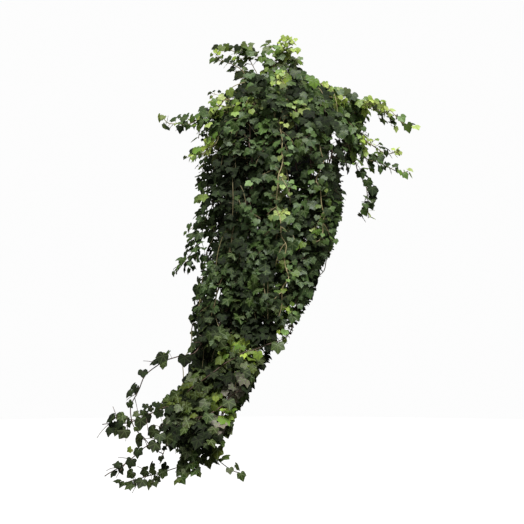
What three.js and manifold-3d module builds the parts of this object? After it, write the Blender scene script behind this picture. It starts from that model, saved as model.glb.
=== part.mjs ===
// Potted ivy in a plain hanging pot: a round plastic pot with a flat rim, a wire hanger with a hook, potting
// soil, and the leafy stems of an English ivy, which stand in the soil, rise over the rim and trail far below.
// Millimetres, +Z up. The origin is the inside top of the hook, where the whole thing hangs. The pot, the soil
// and the plant are drawn with z = 0 at the top of the rim, in a group that hangs RIM_DROP below the origin.
import * as THREE from "three";
import { mergeVertices } from "three/addons/utils/BufferGeometryUtils.js";
import Module from "manifold-3d";

const wasm = await Module();
wasm.setup();
const { Manifold, Mesh } = wasm;

// ---- Driving dimensions: hanger, pot and soil ----
const RIM_DROP = 262; // from the hook's bearing point down to the top of the rim
const GAP = 0.3; // clearance between pieces that touch
const FUSING_TOLERANCE = 0.2;

const POT_HEIGHT = 170;
const POT_TOP_RADIUS = 112; // outside of the wall, under the rim
const POT_BASE_RADIUS = 82;
const POT_WALL = 2.5;
const POT_SIDES = 24;
const RIM_RADIUS = 126;
const RIM_THICKNESS = 3;
const DRAIN_RING = 48; // radius of the ring of drainage holes
const DRAIN_RADIUS = 5;
const DRAIN_COUNT = 4;

const SOIL_BELOW_RIM = 22; // soil level at the wall
const SOIL_CROWN = 8; // how much higher the soil stands in the middle

const WIRE_RADIUS = 1.2;
const WIRE_AZIMUTHS = [90, 210, 330];
const WIRE_HOLE_RING = 119;
const WIRE_HOLE_RADIUS = 2.2;
const WIRE_END_RISE = 5; // each wire ends this far above the rim, outside it
const WIRE_SIDES = 6;

const HOOK_ROD_RADIUS = 2;
const HOOK_INSIDE_RADIUS = 12;
const HOOK_FIRST_TURN = -50; // degrees round the hook's ring, from +X towards +Z
const HOOK_LAST_TURN = 210;
const HOOK_STEPS = 12;
const FERRULE_RADIUS = 6.5;
const FERRULE_TOP = -58; // below the hook's bearing point
const FERRULE_HEIGHT = 16;
const FERRULE_SIDES = 10;
const FERRULE_SOCKET = 9; // how far each wire goes into the ferrule
const FERRULE_SOCKET_RING = 2.6; // radius of the ring of sockets
const SHANK_LENGTH = 8; // straight rod above the ferrule

// ---- Driving dimensions: the plant ----
const STEM_SIDES = 3;
const STEM_STEP = 110; // about the longest straight piece of a stem
const STEM_ROOT_DEPTH = 24; // how deep a stem stands in the soil
const STEM_FOOT = 6; // how far it stays straight above the soil
const STEM_BASE_RADIUS = 2.6;
const STEM_TIP_RADIUS = 1.7;

const LEAF_SPACING = 112; // along a stem in the curtain, from one leaf to the next
const CROWN_LEAF_SPACING = 64;
const LEAF_WIDTH = 53;
const LEAF_THICKNESS = 1.8; // in the middle of the blade
const LEAF_CLEARANCE = 1.2; // kept round each blade
const LEAFLESS_FOOT = 24; // bare length above the soil
const TIP_LENGTH = 4; // bare length past the last leaf
const YOUNG_LENGTH = 240; // the leaves grow to full size over this length from a stem's tip
const PETIOLE_LENGTH = 28;
const PETIOLE_TAPER = 0.16; // its section inside the stem, as a share of that at the blade

// Below this drop the whole curtain of stems drifts to the left and the front, and draws together.
const SWEEP_STARTS = 350;
const SWEEP_LENGTH = 700;
const SWEEP_LEFT = 270;
const SWEEP_FRONT = 170;
const NARROWING = 0.54;

const CURTAIN_TOP = 80; // where the stems begin to hang straight, below the rim
const CURTAIN_SPAN = 140; // about the distance between the points of a hanging stem's route
const CURTAIN_STRAY = 16;
const NEAREST_REACH = 150; // from the pot's axis to the nearest of the hanging stems
const ARCH_PER_REACH = 0.6; // the further out a stem hangs, the higher it arches over the rim

const UP = new THREE.Vector3(0, 0, 1);

// ---- Finishes ----
const potPlastic = { color: 0x1f2622, roughness: 0.55, metalness: 0 };
const hangerSteel = { color: 0x3a3d3b, roughness: 0.4, metalness: 0.8 };
const pottingSoil = { color: 0x2e2118, roughness: 1, metalness: 0 };
const oldLeaf = { color: 0x2f4a2a, roughness: 0.45, metalness: 0 };
const fullLeaf = { color: 0x466b30, roughness: 0.45, metalness: 0 };
const youngLeaf = { color: 0x9dbb48, roughness: 0.5, metalness: 0 };

// ---- Small tools ----

const v3 = (x, y, z) => new THREE.Vector3(x, y, z);
const at = (list) => list.map(([x, y, z]) => v3(x, y, z));

function compass(azimuth, radius, z) {
  const angle = THREE.MathUtils.degToRad(azimuth);
  return v3(Math.cos(angle) * radius, Math.sin(angle) * radius, z);
}

// The same random numbers on every run, for each seed.
function seededRandom(seed) {
  let state = seed * 7919 + 17;
  return () => {
    state = (state * 16807) % 2147483647;
    return state / 2147483647;
  };
}

// A closed three.js geometry as a solid that can be joined and cut.
function solid(geometry) {
  const bare = geometry.index ? geometry.toNonIndexed() : geometry.clone();
  bare.deleteAttribute("normal");
  bare.deleteAttribute("uv");
  const merged = mergeVertices(bare, 1e-4);
  const vertProperties = merged.attributes.position.array;
  const triVerts = new Uint32Array(merged.index.array);
  return new Manifold(new Mesh({ numProp: 3, vertProperties, triVerts }));
}

// Solids joined into one, without needless corners where they meet.
function fused(solids) {
  return Manifold.union(solids).asOriginal().simplify(FUSING_TOLERANCE);
}

function geometryOf(manifold) {
  const mesh = manifold.getMesh();
  const geometry = new THREE.BufferGeometry();
  geometry.setAttribute("position", new THREE.BufferAttribute(mesh.vertProperties, 3));
  geometry.setIndex(new THREE.BufferAttribute(mesh.triVerts, 1));
  return geometry;
}

function faceted(vertices, triangles) {
  const geometry = new THREE.BufferGeometry();
  const positions = vertices.flatMap((v) => v.toArray());
  geometry.setAttribute("position", new THREE.Float32BufferAttribute(positions, 3));
  geometry.setIndex(triangles.flat());
  return geometry;
}

function cylinder(radius, bottom, top, sides, centre) {
  const geometry = new THREE.CylinderGeometry(radius, radius, top - bottom, sides);
  return geometry.rotateX(Math.PI / 2).translate(centre.x, centre.y, (top + bottom) / 2);
}

// A solid of revolution about Z, from [radius, height] points that run up the outside and down the inside.
function turned(profile, sides) {
  const points = profile.map(([r, z]) => new THREE.Vector2(r, z));
  return new THREE.LatheGeometry(points, sides).rotateX(Math.PI / 2);
}

// A closed tube through the points, mitred at each bend, with its radius going evenly from start to end.
function tube(points, startRadius, endRadius, sides) {
  const last = points.length - 1;
  const vertices = [];
  const triangles = [];
  let side = v3(1, 0.3, 0.2);
  points.forEach((centre, i) => {
    const before = centre.clone().sub(points[Math.max(i - 1, 0)]).normalize();
    const after = points[Math.min(i + 1, last)].clone().sub(centre).normalize();
    const along = before.add(after).normalize();
    side = side.clone().addScaledVector(along, -side.dot(along)).normalize();
    const other = v3().crossVectors(along, side);
    const radius = startRadius + ((endRadius - startRadius) * i) / last;
    for (let k = 0; k < sides; k++) {
      const turn = (2 * Math.PI * k) / sides;
      const spoke = side.clone().multiplyScalar(Math.cos(turn)).addScaledVector(other, Math.sin(turn));
      vertices.push(centre.clone().addScaledVector(spoke, radius));
    }
  });
  for (let i = 0; i < last; i++) {
    for (let k = 0; k < sides; k++) {
      const a = i * sides + k;
      const b = i * sides + ((k + 1) % sides);
      triangles.push([a, b, b + sides], [a, b + sides, a + sides]);
    }
  }
  for (let k = 1; k < sides - 1; k++) {
    triangles.push([0, k + 1, k], [last * sides, last * sides + k, last * sides + k + 1]);
  }
  return faceted(vertices, triangles);
}

// ---- Pot, soil and hanger ----

function pot() {
  const body = turned(
    [
      [0, -POT_HEIGHT],
      [POT_BASE_RADIUS, -POT_HEIGHT],
      [POT_TOP_RADIUS, -RIM_THICKNESS],
      [RIM_RADIUS, -RIM_THICKNESS],
      [RIM_RADIUS, 0],
      [POT_TOP_RADIUS - POT_WALL, 0],
      [POT_BASE_RADIUS - POT_WALL, -POT_HEIGHT + POT_WALL],
      [0, -POT_HEIGHT + POT_WALL],
    ],
    POT_SIDES,
  );
  const holes = WIRE_AZIMUTHS.map((azimuth) =>
    solid(cylinder(WIRE_HOLE_RADIUS, -RIM_THICKNESS - 1, 1, WIRE_SIDES, compass(azimuth, WIRE_HOLE_RING, 0))),
  );
  for (let i = 0; i < DRAIN_COUNT; i++) {
    const centre = compass(45 + (360 / DRAIN_COUNT) * i, DRAIN_RING, 0);
    holes.push(solid(cylinder(DRAIN_RADIUS, -POT_HEIGHT - 1, -POT_HEIGHT + POT_WALL + 1, 6, centre)));
  }
  return solid(body).subtract(Manifold.union(holes));
}

// The soil's radius at a height inside the pot.
function soilRadius(z) {
  const slope = (POT_TOP_RADIUS - POT_BASE_RADIUS) / POT_HEIGHT;
  return POT_BASE_RADIUS - POT_WALL - 2 * GAP + slope * (z + POT_HEIGHT - POT_WALL);
}

function soilTop(radius) {
  return -SOIL_BELOW_RIM + SOIL_CROWN * (1 - radius / soilRadius(-SOIL_BELOW_RIM));
}

function soil(stemHoles) {
  const bottom = -POT_HEIGHT + POT_WALL + GAP;
  const fill = turned(
    [
      [0, bottom],
      [soilRadius(bottom), bottom],
      [soilRadius(-SOIL_BELOW_RIM), -SOIL_BELOW_RIM],
      [0, soilTop(0)],
    ],
    POT_SIDES,
  );
  return solid(fill).subtract(Manifold.union(stemHoles));
}

// One hanger wire: out of the ferrule, down to the rim, through its hole and back up round the rim's edge.
function wirePoints(azimuth, intoFerrule = FERRULE_SOCKET) {
  const mouth = RIM_DROP + FERRULE_TOP - FERRULE_HEIGHT;
  const under = -RIM_THICKNESS - GAP - WIRE_RADIUS;
  const outside = RIM_RADIUS + GAP + WIRE_RADIUS;
  const corner = 0.6;
  return [
    compass(azimuth, FERRULE_SOCKET_RING, mouth + intoFerrule),
    compass(azimuth, FERRULE_SOCKET_RING + 1, mouth - 4),
    compass(azimuth, WIRE_HOLE_RING - 4, 12),
    compass(azimuth, WIRE_HOLE_RING, 4),
    compass(azimuth, WIRE_HOLE_RING, under + corner),
    compass(azimuth, WIRE_HOLE_RING + corner, under),
    compass(azimuth, outside - corner, under),
    compass(azimuth, outside, under + corner),
    compass(azimuth, outside, WIRE_END_RISE),
  ];
}

function hangerWire(azimuth) {
  return solid(tube(wirePoints(azimuth), WIRE_RADIUS, WIRE_RADIUS, WIRE_SIDES));
}

// The hook and the ferrule under it, with a blind socket for each wire, drawn from the hook's bearing point.
function hook() {
  const ring = HOOK_INSIDE_RADIUS + HOOK_ROD_RADIUS;
  const points = [v3(0, 0, FERRULE_TOP - FERRULE_HEIGHT / 2), v3(0, 0, FERRULE_TOP + SHANK_LENGTH)];
  for (let i = 0; i <= HOOK_STEPS; i++) {
    const turn = THREE.MathUtils.degToRad(
      THREE.MathUtils.lerp(HOOK_FIRST_TURN, HOOK_LAST_TURN, i / HOOK_STEPS),
    );
    points.push(v3(Math.cos(turn) * ring, 0, Math.sin(turn) * ring - HOOK_INSIDE_RADIUS));
  }
  const rod = solid(tube(points, HOOK_ROD_RADIUS, HOOK_ROD_RADIUS, WIRE_SIDES));
  const bottom = FERRULE_TOP - FERRULE_HEIGHT;
  const ferrule = solid(cylinder(FERRULE_RADIUS, bottom, FERRULE_TOP, FERRULE_SIDES, v3(0, 0, 0)));
  const sockets = WIRE_AZIMUTHS.map((azimuth) => {
    const route = wirePoints(azimuth, FERRULE_SOCKET + GAP).slice(0, 3);
    return solid(tube(route, WIRE_RADIUS + GAP, WIRE_RADIUS + GAP, WIRE_SIDES)).translate([0, 0, -RIM_DROP]);
  });
  return rod.add(ferrule).subtract(Manifold.union(sockets));
}

// ---- Stems ----

// Where the middle of the curtain is at a drop below the rim, and how far it has drawn together.
function sweep(drop) {
  const share = Math.max(0, drop - SWEEP_STARTS) / SWEEP_LENGTH;
  const eased = share ** 1.2;
  const narrowing = 1 - NARROWING * THREE.MathUtils.smoothstep(share, 0, 1);
  return { x: -SWEEP_LEFT * eased, y: -SWEEP_FRONT * eased, narrowing };
}

// Out of the soil and over the rim, in the upright plane at one azimuth, arching up in between.
function overRim(azimuth, rootRadius, arch) {
  return [
    compass(azimuth, rootRadius, soilTop(rootRadius) + STEM_FOOT),
    compass(azimuth, rootRadius + 8, 6 + arch * 0.4),
    compass(azimuth, RIM_RADIUS - 12, 14 + arch),
    compass(azimuth, RIM_RADIUS + 16, 2 + arch * 0.9),
  ];
}

// Over the rim and down in the curtain to a drop, at a distance from the pot, straying a little on the way.
function curtainRoute(azimuth, rootRadius, reach, lowest, random) {
  const points = overRim(azimuth, rootRadius, (reach - NEAREST_REACH) * ARCH_PER_REACH);
  const spans = Math.round((lowest - CURTAIN_TOP) / CURTAIN_SPAN);
  const stray = () => (random() - 0.5) * CURTAIN_STRAY;
  for (let i = 0; i <= spans; i++) {
    const drop = CURTAIN_TOP + ((lowest - CURTAIN_TOP) * i) / spans;
    const { x, y, narrowing } = sweep(drop);
    const radius = (reach + stray()) * narrowing;
    const bearing = azimuth + THREE.MathUtils.radToDeg(stray() / radius);
    points.push(compass(bearing, radius, -drop).add(v3(x, y, 0)));
  }
  return points;
}

// The curtain: three rings of stems that hang near, further and furthest from the pot.
const CURTAIN_RINGS = [
  { reach: NEAREST_REACH, rootRadius: 58, finish: oldLeaf, azimuths: [2, 58, 100, 133, 176, 190, 256, 350] },
  { reach: 188, rootRadius: 84, finish: fullLeaf, azimuths: [27, 69, 111, 144, 218, 265] },
  { reach: 222, rootRadius: 72, finish: oldLeaf, azimuths: [47, 80, 122, 155, 181, 229] },
];
// How far a stem comes below the rim, before it is made longer by its place and by chance.
const CURTAIN_LOWEST = 780;
const CURTAIN_LONG_SIDE = 210; // the azimuth where the stems are longest
const CURTAIN_LONG_EXTRA = 240;
const CURTAIN_CHANCE_EXTRA = 60;

function curtainStems() {
  const stems = CURTAIN_RINGS.flatMap(({ azimuths, ...ring }) =>
    azimuths.map((azimuth) => ({ azimuth, ...ring })),
  );
  return stems.map(({ azimuth, reach, rootRadius, finish }, i) => {
    const random = seededRandom(100 + i);
    const long = Math.cos(THREE.MathUtils.degToRad(azimuth - CURTAIN_LONG_SIDE));
    const lowest = CURTAIN_LOWEST + CURTAIN_LONG_EXTRA * long + CURTAIN_CHANCE_EXTRA * random();
    const points = curtainRoute(azimuth, rootRadius, reach, lowest, random);
    const name = `curtain_stem_${String(i + 1).padStart(2, "0")}`;
    return { name, points, spacing: LEAF_SPACING, finish };
  });
}

// The longest stems hang in the curtain's front and end in the loose sprays at the lower left.
const TRAILING_STEMS = [
  {
    name: "trailing_stem_left_arc", azimuth: 238, reach: 196, until: 640, finish: oldLeaf,
    end: [[-243, -262, -758], [-298, -282, -774], [-346, -300, -796], [-392, -306, -850],
      [-412, -306, -910], [-402, -300, -968], [-370, -296, -1012], [-326, -300, -1034]],
  },
  {
    name: "trailing_stem_left_low", azimuth: 247, reach: 160, until: 800, finish: oldLeaf,
    end: [[-264, -262, -896], [-335, -310, -912], [-400, -350, -942], [-452, -356, -952],
      [-484, -352, -954]],
  },
  {
    name: "trailing_stem_cross_high", azimuth: 312, reach: 205, until: 560, finish: fullLeaf,
    end: [[26, -214, -672], [-24, -240, -726], [-84, -266, -748], [-137, -290, -778], [-212, -306, -818],
      [-270, -318, -872]],
  },
  {
    name: "trailing_stem_cross_low", azimuth: 302, reach: 180, until: 700, finish: fullLeaf,
    end: [[-104, -262, -836], [-150, -284, -886], [-216, -308, -928], [-308, -326, -962],
      [-376, -338, -1014], [-432, -348, -1056], [-476, -352, -1084]],
  },
  {
    name: "trailing_stem_bottom_left", azimuth: 284, reach: 172, until: 860, finish: oldLeaf,
    end: [[-190, -262, -986], [-244, -282, -1040], [-330, -300, -1082], [-400, -318, -1098],
      [-448, -322, -1104]],
  },
  {
    name: "trailing_stem_bottom_front", azimuth: 293, reach: 200, until: 880, finish: oldLeaf,
    end: [[-182, -296, -992], [-188, -290, -1040], [-156, -286, -1070], [-122, -286, -1078]],
  },
];
const TRAILING_ROOTS = [66, 50, 78];

// Shoots that leave the crown to one side, and the bright new shoots that hang in front.
const SIDE_STEMS = [
  {
    name: "bright_stem_front", azimuth: 274, arch: 44, finish: youngLeaf,
    end: [[-4, -226, -60], [-12, -240, -200], [-16, -250, -339], [-4, -256, -430], [3, -262, -515],
      [-8, -270, -600], [-24, -276, -664]],
  },
  {
    name: "bright_stem_right_front", azimuth: 321, arch: 20, finish: youngLeaf,
    end: [[112, -176, -90], [102, -208, -215], [107, -222, -333], [108, -228, -410], [92, -238, -440],
      [70, -244, -436]],
  },
  {
    name: "arm_left", azimuth: 194, arch: 16, finish: youngLeaf,
    end: [[-222, -72, -24], [-276, -88, -50], [-322, -98, -56], [-360, -100, -50], [-394, -100, -28]],
  },
  {
    name: "shoot_left_bright", azimuth: 202, arch: 4, finish: youngLeaf,
    end: [[-176, -88, -50], [-205, -104, -104], [-244, -116, -152], [-290, -124, -188]],
  },
  {
    name: "drip_left", azimuth: 185, arch: 8, finish: oldLeaf,
    end: [[-196, -20, -90], [-228, -40, -220], [-242, -54, -320], [-256, -60, -404], [-286, -66, -462],
      [-326, -74, -520]],
  },
  {
    name: "shoulder_left", azimuth: 167, arch: 40, finish: fullLeaf,
    end: [[-196, 44, 34], [-242, 46, -50], [-254, 38, -160], [-258, 30, -260]],
  },
  {
    name: "shoulder_left_front", azimuth: 198, arch: 32, finish: youngLeaf,
    end: [[-186, -66, 20], [-238, -86, -34], [-262, -92, -110]],
  },
  {
    name: "shoulder_right", azimuth: 342, arch: 56, finish: youngLeaf,
    end: [[206, -70, 42], [258, -88, 16], [292, -96, -14], [318, -94, -36]],
  },
  {
    name: "arm_right_high", azimuth: 354, arch: 40, finish: youngLeaf,
    end: [[234, -44, 40], [300, -56, 10], [352, -62, -22], [411, -62, -44]],
  },
  {
    name: "arm_right_middle", azimuth: 346, arch: 24, finish: fullLeaf,
    end: [[214, -58, -40], [262, -70, -104], [316, -76, -138], [372, -76, -130]],
  },
  {
    name: "arm_right_low", azimuth: 11, arch: 10, finish: fullLeaf,
    end: [[200, 24, -64], [262, -4, -130], [318, -40, -172], [366, -56, -196], [394, -60, -190]],
  },
  {
    name: "drip_right", azimuth: 338, arch: 10, finish: fullLeaf,
    end: [[178, -80, -60], [210, -88, -140], [240, -84, -220], [258, -76, -290], [268, -70, -350]],
  },
  {
    name: "shoulder_right_front", azimuth: 19, arch: 48, finish: youngLeaf,
    end: [[196, 50, 36], [246, 40, -24], [272, 24, -90]],
  },
  {
    name: "shoulder_right_back", azimuth: 37, arch: 44, finish: fullLeaf,
    end: [[178, 118, 30], [214, 130, -50], [226, 126, -150]],
  },
];
const SIDE_ROOTS = [80, 62];

// Shoots that rise from the middle of the soil: the crown of the plant.
const CROWN_STEMS = [
  {
    name: "crown_peak", azimuth: 200, root: 18, finish: youngLeaf,
    end: [[-26, -8, 40], [-38, -14, 110], [-28, -22, 166], [-10, -28, 208], [38, -28, 234]],
  },
  {
    name: "crown_peak_back", azimuth: 60, root: 22, finish: fullLeaf,
    end: [[22, 22, 50], [28, 34, 112], [30, 34, 170], [44, 28, 204]],
  },
  {
    name: "crown_left_high", azimuth: 186, root: 46, finish: fullLeaf,
    end: [[-66, -10, 50], [-112, -16, 124], [-158, -28, 172], [-218, -40, 184]],
  },
  {
    name: "crown_left_back", azimuth: 150, root: 36, finish: youngLeaf,
    end: [[-50, 24, 60], [-66, 34, 136], [-92, 42, 204], [-150, 40, 230], [-222, 32, 238]],
  },
  {
    name: "crown_left", azimuth: 164, root: 44, finish: fullLeaf,
    end: [[-84, 14, 56], [-128, 14, 90], [-176, 8, 72], [-210, -2, 26]],
  },
  {
    name: "crown_left_front", azimuth: 224, root: 44, finish: fullLeaf,
    end: [[-50, -52, 50], [-90, -82, 88], [-138, -108, 74], [-172, -126, 28]],
  },
  {
    name: "crown_front", azimuth: 262, root: 42, finish: youngLeaf,
    end: [[-8, -62, 52], [-14, -106, 88], [-22, -154, 72], [-28, -188, 22]],
  },
  {
    name: "crown_front_right", azimuth: 300, root: 42, finish: youngLeaf,
    end: [[34, -54, 56], [62, -98, 92], [94, -142, 76], [116, -172, 28]],
  },
  {
    name: "crown_middle", azimuth: 290, root: 20, finish: fullLeaf,
    end: [[12, -32, 50], [22, -50, 98], [44, -66, 136]],
  },
  {
    name: "crown_right", azimuth: 350, root: 44, finish: youngLeaf,
    end: [[62, -8, 56], [108, -18, 94], [160, -34, 88], [198, -46, 62]],
  },
  {
    name: "crown_right_back", azimuth: 42, root: 40, finish: fullLeaf,
    end: [[50, 42, 56], [90, 68, 94], [138, 94, 80], [168, 112, 40]],
  },
  {
    name: "crown_back", azimuth: 112, root: 42, finish: fullLeaf,
    end: [[-22, 62, 56], [-38, 106, 90], [-54, 152, 72], [-62, 184, 26]],
  },
];

function trailingStems() {
  return TRAILING_STEMS.map(({ name, azimuth, reach, until, end, finish }, i) => {
    const route = curtainRoute(azimuth, TRAILING_ROOTS[i % 3], reach, until, seededRandom(300 + i));
    return { name, points: [...route, ...at(end)], spacing: LEAF_SPACING, finish };
  });
}

function sideStems() {
  return SIDE_STEMS.map(({ name, azimuth, arch, end, finish }, i) => {
    const points = [...overRim(azimuth, SIDE_ROOTS[i % 2], arch), ...at(end)];
    return { name, points, spacing: CROWN_LEAF_SPACING, finish };
  });
}

function crownStems() {
  return CROWN_STEMS.map(({ name, azimuth, root, end, finish }) => {
    const points = [compass(azimuth, root, soilTop(root) + STEM_FOOT), ...at(end)];
    return { name, points, spacing: CROWN_LEAF_SPACING, finish };
  });
}

// Straight pieces along a smooth curve: they meet it at each of its points, and between them where these lie
// far apart.
function smoothed(points) {
  const curve = new THREE.CatmullRomCurve3(points, false, "catmullrom", 0.5);
  const spans = points.length - 1;
  const line = [];
  for (let i = 0; i < spans; i++) {
    const pieces = Math.max(1, Math.round(points[i].distanceTo(points[i + 1]) / STEM_STEP));
    for (let k = 0; k < pieces; k++) line.push(curve.getPoint((i + k / pieces) / spans));
  }
  return [...line, points.at(-1)];
}

// Gives a stem its route from root to tip, and its wood.
function grown(stem) {
  const foot = stem.points[0];
  const root = foot.clone().addScaledVector(UP, -STEM_FOOT - STEM_ROOT_DEPTH);
  const line = [root, ...smoothed(stem.points)];
  const wood = solid(tube(line, STEM_BASE_RADIUS, STEM_TIP_RADIUS, STEM_SIDES));
  return { ...stem, root, line: line.slice(1), length: lengthOf(line.slice(1)), wood };
}

// The point and the direction at a length along a line of straight pieces.
function alongLine(line, length) {
  let left = length;
  for (let i = 0; i < line.length - 1; i++) {
    const piece = line[i].distanceTo(line[i + 1]);
    if (left < piece || i === line.length - 2) {
      const tangent = line[i + 1].clone().sub(line[i]).normalize();
      return { point: line[i].clone().addScaledVector(tangent, Math.min(left, piece)), tangent };
    }
    left -= piece;
  }
  return null;
}

function lengthOf(line) {
  return line.slice(1).reduce((sum, point, i) => sum + point.distanceTo(line[i]), 0);
}

// A hole in the soil for a stem's foot, with a little air round it.
function stemHole({ root, line }) {
  const radius = STEM_BASE_RADIUS + 3 * GAP;
  const below = root.clone().addScaledVector(UP, -GAP);
  return solid(tube([below, line[0].clone().addScaledVector(UP, 4)], radius, radius, STEM_SIDES));
}

// ---- Leaves ----

// Half of an ivy leaf's outline for a blade 1 wide, as [across, along, height], from the notch at its base
// towards its tip: the hollows and the tips of its lobes in turn.
const FIVE_LOBES = [
  [0.05, -0.06, 0],
  [0.36, -0.24, 0.03],
  [0.34, 0, 0.05],
  [0.54, 0.26, -0.07],
  [0.24, 0.37, 0.05],
];
const THREE_LOBES = [[0.06, -0.06, 0], [0.36, -0.2, 0.04], [0.53, 0.2, -0.07], [0.25, 0.36, 0.05]];
const YOUNG_LOBES = [[0.07, -0.08, 0], [0.5, 0.08, -0.06], [0.24, 0.34, 0.05]];
const LEAF_TIP = [0, 0.85, -0.12];
const LEAF_MIDDLE = [0, 0.14, 0];

// The blade's outline all round, from notch to notch, wider by grow.
function leafOutline({ lobes, width, grow }) {
  const [mx, my] = LEAF_MIDDLE;
  const right = [...lobes, LEAF_TIP];
  const left = lobes.map(([x, y, z]) => [-x, y, z]).reverse();
  return [...right, ...left].map(([x, y, z]) => {
    const scale = 1 + grow / (Math.hypot(x - mx, y - my) * width);
    return [mx + (x - mx) * scale, my + (y - my) * scale, z];
  });
}

// A blade, thickest in its middle, with its petiole where the leaf has a root: three sides, from the notch and
// the middle of the underside to a small triangle inside the stem.
function leafSolid({ base, across, along, normal, root, width, lobes, thickness, grow = 0 }) {
  const place = ([x, y, z], lift = 0) =>
    base.clone().addScaledVector(across, x * width).addScaledVector(along, y * width)
      .addScaledVector(normal, z * width + lift);
  const outline = leafOutline({ lobes, width, grow });
  const count = outline.length;
  const above = count;
  const under = count + 1;
  const half = thickness / 2;
  const vertices = [...outline.map((p) => place(p)), place(LEAF_MIDDLE, half), place(LEAF_MIDDLE, -half)];
  const triangles = [[above, count - 1, 0]];
  for (let i = 0; i < count - 1; i++) triangles.push([above, i, i + 1], [under, i + 1, i]);
  if (!root) return solid(faceted(vertices, [...triangles, [under, 0, count - 1]]));

  const ring = [count - 1, 0, under];
  const middle = v3();
  ring.forEach((i) => middle.addScaledVector(vertices[i], 1 / 3));
  for (const i of ring) {
    const spoke = vertices[i].clone().sub(middle);
    vertices.push(root.clone().addScaledVector(spoke, PETIOLE_TAPER));
  }
  const end = [count + 2, count + 3, count + 4];
  for (let k = 0; k < 3; k++) {
    const m = (k + 1) % 3;
    triangles.push([ring[k], end[k], end[m]], [ring[k], end[m], ring[m]]);
  }
  triangles.push([end[0], end[2], end[1]]);
  return solid(faceted(vertices, triangles));
}

// The way out of the plant at a point: away from the curtain's middle, and a little up.
function outwardAt(point) {
  const { x, y } = sweep(-point.z);
  const heart = v3(x, y, Math.min(point.z, 0) - 70);
  return point.clone().sub(heart).normalize();
}

// Young leaves have three plain lobes, and some of the old ones five.
function lobesAt(age, draw) {
  if (age < 0.45 || draw < 0.2) return YOUNG_LOBES;
  return draw < 0.78 ? THREE_LOBES : FIVE_LOBES;
}

// How far round the petiole swings, and how much shorter or longer it is, at each try for a free place.
const TRIES = [[0, 1], [0.6, 1], [-0.6, 1], [0.2, 1.4], [1.2, 0.8], [-1.2, 0.8], [1.8, 1.2], [-1.8, 1.2]];

// One leaf on a stem: its petiole leaves the stem outwards and to one side, and its blade faces outwards with
// the tip hanging down.
function leafOn(stem, length, hand, [swing, stretch], random) {
  const { point, tangent } = alongLine(stem.line, length);
  const outward = outwardAt(point);
  const side = v3().crossVectors(tangent, outward).normalize().multiplyScalar(hand);
  const jitter = (size) => v3(random() - 0.5, random() - 0.5, random() - 0.5).multiplyScalar(size);

  const fromTip = stem.length - length;
  const age = THREE.MathUtils.smoothstep(fromTip, -20, YOUNG_LENGTH);
  const petiole = outward.clone().multiplyScalar(0.75).addScaledVector(side, 0.75 + swing);
  petiole.addScaledVector(UP, 0.2).addScaledVector(tangent, 1.2 * Math.max(0, 0.4 - age));
  petiole.add(jitter(0.5)).normalize();
  const normal = outward.clone().addScaledVector(UP, 0.3).addScaledVector(side, 0.25);
  normal.add(jitter(0.7)).normalize();
  while (normal.dot(petiole) < 0.45) normal.addScaledVector(petiole, 0.2).normalize();
  const tip = side.clone().multiplyScalar(0.5).addScaledVector(UP, -0.8).addScaledVector(outward, 0.35);
  tip.addScaledVector(tangent, 0.3);
  const along = tip.addScaledVector(normal, -tip.dot(normal)).normalize();

  const width = LEAF_WIDTH * (0.58 + 0.42 * age) * (0.88 + 0.24 * random());
  const lobes = lobesAt(age, random());
  const reach = PETIOLE_LENGTH * (0.7 + 0.6 * random()) * (0.6 + 0.4 * age) * stretch;
  const base = point.clone().addScaledVector(petiole, reach);
  const across = v3().crossVectors(along, normal);
  return { base, across, along, normal, root: point, width, lobes, thickness: LEAF_THICKNESS };
}

// Puts leaves on every stem from its tip up, closest near the tip, each clear of all the other stems, leaves
// and obstacles, or leaves a place bare.
function leafed(stems, obstacles) {
  const taken = obstacles.map((shape) => ({ shape, owner: "holder", box: shape.boundingBox() }));
  const near = (box, other) => box.min.every((low, k) => low < other.max[k] && other.min[k] < box.max[k]);
  const clashes = (shape, ignored) => {
    const box = shape.boundingBox();
    return taken.some((t) => t.owner !== ignored && near(box, t.box) && !t.shape.intersect(shape).isEmpty());
  };
  const take = (shape, owner) => taken.push({ shape, owner, box: shape.boundingBox() });
  stems.forEach((stem) => take(stem.wood, stem.name));
  return stems.map((stem, index) => {
    const random = seededRandom(500 + index);
    const leaves = [];
    let hand = index % 2 ? 1 : -1;
    const spacing = (length) => stem.spacing * (1.15 + 0.3 * random() - 0.65 * (length / stem.length));
    for (let length = stem.length - TIP_LENGTH; length > LEAFLESS_FOOT; length -= spacing(length)) {
      hand = -hand;
      for (const attempt of TRIES) {
        const leaf = leafOn(stem, length, hand, attempt, random);
        const wide = { ...leaf, thickness: LEAF_THICKNESS + 2 * LEAF_CLEARANCE, grow: LEAF_CLEARANCE };
        if (clashes(leafSolid({ ...wide, root: null }), null)) continue;
        if (clashes(leafSolid(wide), stem.name)) continue;
        leaves.push(leafSolid(leaf));
        take(leaves.at(-1), "leaf");
        break;
      }
    }
    return { ...stem, shape: fused([stem.wood, ...leaves]) };
  });
}

// ---- The whole thing ----

function piece(name, shape, finish) {
  const mesh = new THREE.Mesh(geometryOf(shape), new THREE.MeshStandardMaterial(finish));
  mesh.name = name;
  return mesh;
}

const stems = [...trailingStems(), ...sideStems(), ...crownStems(), ...curtainStems()].map(grown);
const potShape = pot();
const soilShape = soil(stems.map(stemHole));
const hookShape = hook();
const wireShapes = WIRE_AZIMUTHS.map(hangerWire);
const holders = [potShape, soilShape, hookShape.translate([0, 0, RIM_DROP]), ...wireShapes];
const plant = leafed(stems, holders);

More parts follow.
